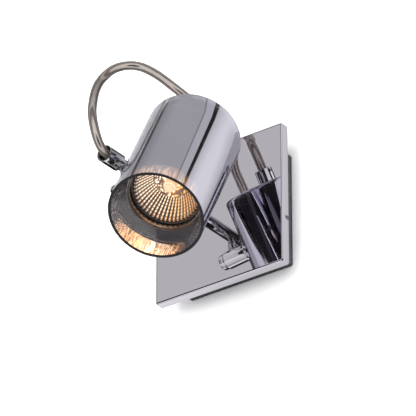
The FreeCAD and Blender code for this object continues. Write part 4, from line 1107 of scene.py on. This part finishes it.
class SPOTLIGHT_OT_stem(bpy.types.Operator):
    """Turn the stem, its flanged bush in the plate and the cable socket on its end"""

    bl_idname = "spotlight.stem"
    bl_label = "Stem and Cable Socket"

    def execute(self, context):
        self.turn_stem()
        self.turn_bush()
        self.turn_socket()
        return {"FINISHED"}

    def turn_stem(self):
        low, high, inner, outer = span("stem_tube", STEM)
        rings = [(inner, low), (outer, low), (outer, 0), (outer, high), (inner, high)]
        chrome_piece("chrome_stem", rings, STEM, "arm", "stem_tube")

    def turn_bush(self):
        low, high, inner, outer = span("stem_bush", STEM)
        shank, flange_round = 5.7 * MM, 1 * MM
        rings = [(inner, low), (shank, low), (shank, 0), (outer, 0)]
        rings += high_edge(outer, high, flange_round, 5) + [(inner, high)]
        chrome_piece("chrome_stem_bush", rings, STEM, "wall_plate", "stem_bush")

    def turn_socket(self):
        """Sleeve with a seat for the stem, a web, a bore for the flex and a flared mouth."""
        low, high, inner, outer = span("cable_socket", STEM)
        seat, mouth, web, web_gauge = 4.5 * MM, 4.7 * MM, low + 4.0 * MM, 1.8 * MM
        flare, flare_side = 1.4 * MM, 1.5 * MM
        rings = [(seat, low)] + low_edge(outer, low, 0.5 * MM) + high_edge(outer, high, 0.45 * MM)
        rings += rounded(mouth + flare_side, high - flare, flare, 105, 180)
        rings += [(mouth, web + web_gauge), (inner, web + web_gauge), (inner, web), (seat, web)]
        screws = ((-45, 77.05 * MM), (-90, 71.0 * MM))
        holes = [radial(STEM, angle, level, outer) for angle, level in screws]
        chrome_piece("chrome_cable_socket", rings, STEM, "arm", "cable_socket", holes)


class SPOTLIGHT_OT_pivot(bpy.types.Operator):
    """Turn the pivot barrel and its banded cap, and dress the neck, the washer and the saddle"""

    bl_idname = "spotlight.pivot"
    bl_label = "Pivot Barrel and Cap"

    def execute(self, context):
        self.turn_barrel()
        self.turn_cap()
        kept_shapes = (
            ("pivot_neck", "chrome_neck", "arm"),
            ("cap_washer", "spring_washer", "head"),
            ("shade_saddle", "chrome_saddle", "head"),
        )
        for source, name, body in kept_shapes:
            hand_over(smoothed(source, name), body, "chrome", [chrome()], source)
        return {"FINISHED"}

    def turn_barrel(self):
        low, high, inner, outer = span("pivot_barrel", PIVOT)
        edge, screw_level = 0.5 * MM, 48.7 * MM
        rings = [(inner, low)] + low_edge(outer, low, edge) + high_edge(outer, high, edge) + [(inner, high)]
        screw = radial(PIVOT, -TILT_REST, screw_level, outer)
        chrome_piece("chrome_pivot_barrel", rings, PIVOT, "arm", "pivot_barrel", [screw])

    def turn_cap(self):
        """Cap with a groove round it, a rounded end and a blind bore for the bolt."""
        low, high, _, outer = span("cap_nut", PIVOT)
        band, groove, shoulder = low + (high - low) * 0.42, 0.35 * MM, 1.4 * MM
        bore, end_wall = 3.05 * MM, 1.7 * MM
        mouth, bottom = 0.3 * MM, 0.12 * MM
        rings = [(bore, low)] + low_edge(outer, low, 0.3 * MM, 3)
        rings += [(outer, band - mouth), (outer - groove, band - bottom), (outer - groove, band + bottom),
                  (outer, band + mouth)]
        rings += high_edge(outer, high, shoulder, 7)
        rings += [(outer * 0.35, high), (POLE, high), (POLE, high - end_wall), (bore, high - end_wall)]
        chrome_piece("chrome_cap_nut", rings, PIVOT, "head", "cap_nut")


class SPOTLIGHT_OT_gland(bpy.types.Operator):
    """Turn the gland that holds the flex on the rear of the glass, with its grub screw hole"""

    bl_idname = "spotlight.gland"
    bl_label = "Cable Gland"

    def execute(self, context):
        low, high, inner, outer = span("cable_gland", HEAD)
        nipple_end = span("rear_nipple", HEAD)[1]
        bore, lip, screw_angle = 5.05 * MM, 0.5 * MM, 20
        rings = [(bore, low)] + low_edge(outer, low, 0.3 * MM, 3) + high_edge(outer, high, 0.9 * MM, 5)
        rings += rounded(inner + lip, high - lip, lip, 90, 180, 4)
        rings += [(inner, nipple_end), (bore, nipple_end)]
        screw = radial(HEAD, screw_angle, (nipple_end + high) / 2, outer)
        chrome_piece("chrome_cable_gland", rings, HEAD, "head", "cable_gland", [screw])
        return {"FINISHED"}


class SPOTLIGHT_OT_can(bpy.types.Operator):
    """Dress the inner can and turn the thin bright bezel on its mouth"""

    bl_idname = "spotlight.can"
    bl_label = "Inner Can and Bezel"

    def execute(self, context):
        hand_over(smoothed("lamp_can", "aluminium_can"), "head", "aluminium", [aluminium()], "lamp_can")
        low, high, inner, outer = span("can_bezel", HEAD)
        edge, seat, bright_line = 0.45 * MM, 1.25 * MM, 0.40 * MM
        step = low + 1.3 * MM
        rings = rounded(inner + edge, low + edge, edge, 180, 270, 4) + low_edge(outer, low, edge)
        rings += [(outer, step), (outer - seat, step), (outer - seat, high), (inner, high)]
        bezel = lathe("chrome_bezel", rings, HEAD, sides=144)
        soften(bezel)
        hand_over(bezel, "head", "chrome", [bezel_steel(), chrome()], "can_bezel")
        for face in bezel.data.polygons:
            face.material_index = int(head_polar(face.center)[0] > outer - bright_line)
        return {"FINISHED"}


class SPOTLIGHT_OT_lamp(bpy.types.Operator):
    """Press the lamp's fluted mirror, its rim and the lit capsule in its middle"""

    bl_idname = "spotlight.lamp"
    bl_label = "Reflector Lamp"

    def execute(self, context):
        low, _, _, outer = span("lamp_reflector", HEAD)
        mouth, level = outer - 1.4 * MM, low + 1.2 * MM
        self.press_mirror(mouth, level)
        self.turn_rim(low, level, mouth, outer)
        self.turn_capsule()
        return {"FINISHED"}

    def press_mirror(self, mouth, level):
        """A paraboloid from the mouth to the throat, with flutes pressed in and facets by the throat."""
        size = sizes()
        throat, focus, flutes_start, steps = 6.0 * MM, 5.05 * MM, 13.5 * MM, 22
        facet_edge, facet_jitter = 13.4 * MM, 0.5 * MM
        foot = level + mouth * mouth / (4 * focus)
        radii = [mouth + (throat - mouth) * step / steps for step in range(steps + 1)]
        rings = [(radius, foot - radius * radius / (4 * focus)) for radius in radii]
        mirror = lathe("lamp_mirror", rings, Matrix.Identity(4), sides=size.flutes * 4, closed=False)
        pick(mirror)
        valley, ridge = size.flute_depth / mouth, -size.flute_depth / mouth * 0.6
        for column, depth in ((2, valley), (0, ridge)):
            self.pick_columns(mirror, column, flutes_start, mouth - 0.2 * MM)
            bpy.ops.transform.resize(value=(1 + depth, 1 + depth, 1), center_override=(0, 0, 0))
        self.pick_columns(mirror, 0, throat + 0.5 * MM, facet_edge)
        bpy.ops.transform.vertex_random(offset=facet_jitter, seed=5)
        close_mesh(inside=True)
        apply_modifier(mirror, "SOLIDIFY", thickness=1.2 * MM, offset=-1.0)
        settle(mirror, HEAD)
        soften(mirror, 12, weighted=False)
        hand_over(mirror, "head", "lamp_mirror", [lamp_mirror()], "lamp_reflector")

    def pick_columns(self, mirror, column, low, high):
        """Select one of the four vertex columns of every flute, between two radii."""
        sides = sizes().flutes * 4

        def test(point):
            turn = round(math.atan2(point.y, point.x) / (2 * math.pi) * sides) % sides
            return turn % 4 == column and low <= math.hypot(point.x, point.y) <= high

        pick_vertices(mirror, test)

    def turn_rim(self, low, level, mouth, outer):
        """Glass rim that holds the cover."""
        inner_edge, outer_edge = 0.25 * MM, 0.5 * MM
        height, cover_seat = low + 2.6 * MM, 0.75 * MM
        rings = rounded(outer - outer_edge, low + inner_edge, inner_edge, 180, 270, 3)
        rings += low_edge(outer, low, outer_edge)
        rings += [(outer, height), (mouth, height), (mouth, level), (outer - cover_seat, level)]
        rim = lathe("lamp_rim", rings, HEAD, sides=144)
        soften(rim)
        hand_over(rim, "head", "clear_glass", [rim_glass()])

    def turn_capsule(self):
        """Quartz capsule with a domed tip and a pinched foot."""
        low, high, _, outer = span("lamp_burner", HEAD)
        tip, foot, neck = 3 * MM, 7 * MM, 5.6 * MM
        rings = [(POLE, low)] + rounded(outer - tip, low + tip, tip, -80, 0, 8)
        rings += [(outer, high - foot), (outer * 0.62, high - neck), (outer * 0.6, high), (POLE, high)]
        capsule = lathe("quartz_capsule", rings, HEAD, sides=64)
        soften(capsule, 60)
        hand_over(capsule, "head", "lit_capsule", [lit_capsule()], "lamp_burner")


# CAD pieces that keep their shape and get a finish
FITTINGS = {
    zinc_sheet: ("wall_box", "canopy_lugs", "holder_bracket"),
    screw_steel: ("canopy_screws", "terminal_screws", "terminal_fixing", "bush_washer", "stem_clip",
                  "socket_screws", "tilt_screw", "pivot_bolt", "lamp_pins", "holder_screws", "gland_screw",
                  "shade_screw"),
    soft_black: ("entry_grommet", "cable_bushing", "rear_gaskets"),
    block_white: ("terminal_block", "stem_friction_washer"),
    brass: ("earth_screw", "bush_nut", "rear_nipple", "nipple_nut"),
    aluminium: ("shade_spacer", "can_shim", "rear_spacer"),
    ceramic: ("lamp_base", "lamp_holder"),
    clear_glass: ("lamp_cover",),
}


class SPOTLIGHT_OT_fittings(bpy.types.Operator):
    """Give the box, the screws and the other small fittings their finishes"""

    bl_idname = "spotlight.fittings"
    bl_label = "Box, Screws and Fittings"

    def execute(self, context):
        for maker, names in FITTINGS.items():
            for name in names:
                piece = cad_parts[name]
                piece.data.materials.clear()
                piece.data.materials.append(maker())
        return {"FINISHED"}


class SPOTLIGHT_PT_panel(bpy.types.Panel):
    """Panel that lists the sizes, the finishes and the steps"""

    bl_idname = "SPOTLIGHT_PT_panel"
    bl_label = "Wall Spotlight"
    bl_space_type = "VIEW_3D"
    bl_region_type = "UI"
    bl_category = "Spotlight"

    def draw(self, context):
        layout = self.layout
        for group in (context.scene.spotlight_sizes, context.scene.spotlight_finishes):
            box = layout.box()
            for name in group.__annotations__:
                box.prop(group, name)
        for step in STEPS:
            layout.operator(step.bl_idname)


STEPS = (
    SPOTLIGHT_OT_stage,
    SPOTLIGHT_OT_flex,
    SPOTLIGHT_OT_glass,
    SPOTLIGHT_OT_plate,
    SPOTLIGHT_OT_stem,
    SPOTLIGHT_OT_pivot,
    SPOTLIGHT_OT_gland,
    SPOTLIGHT_OT_can,
    SPOTLIGHT_OT_lamp,
    SPOTLIGHT_OT_fittings,
)
CLASSES = (SpotlightSizes, SpotlightFinishes) + STEPS + (SPOTLIGHT_PT_panel,)


def register():
    for item in CLASSES:
        bpy.utils.register_class(item)
    bpy.types.Scene.spotlight_sizes = bpy.props.PointerProperty(type=SpotlightSizes)
    bpy.types.Scene.spotlight_finishes = bpy.props.PointerProperty(type=SpotlightFinishes)


def unregister():
    del bpy.types.Scene.spotlight_finishes
    del bpy.types.Scene.spotlight_sizes
    for item in reversed(CLASSES):
        bpy.utils.unregister_class(item)


def main():
    register()
    bpy.ops.spotlight.stage()
    bpy.ops.spotlight.flex()
    bpy.ops.spotlight.glass()
    bpy.ops.spotlight.plate()
    bpy.ops.spotlight.stem()
    bpy.ops.spotlight.pivot()
    bpy.ops.spotlight.gland()
    bpy.ops.spotlight.can()
    bpy.ops.spotlight.lamp()
    bpy.ops.spotlight.fittings()


if __name__ == "__main__":
    main()
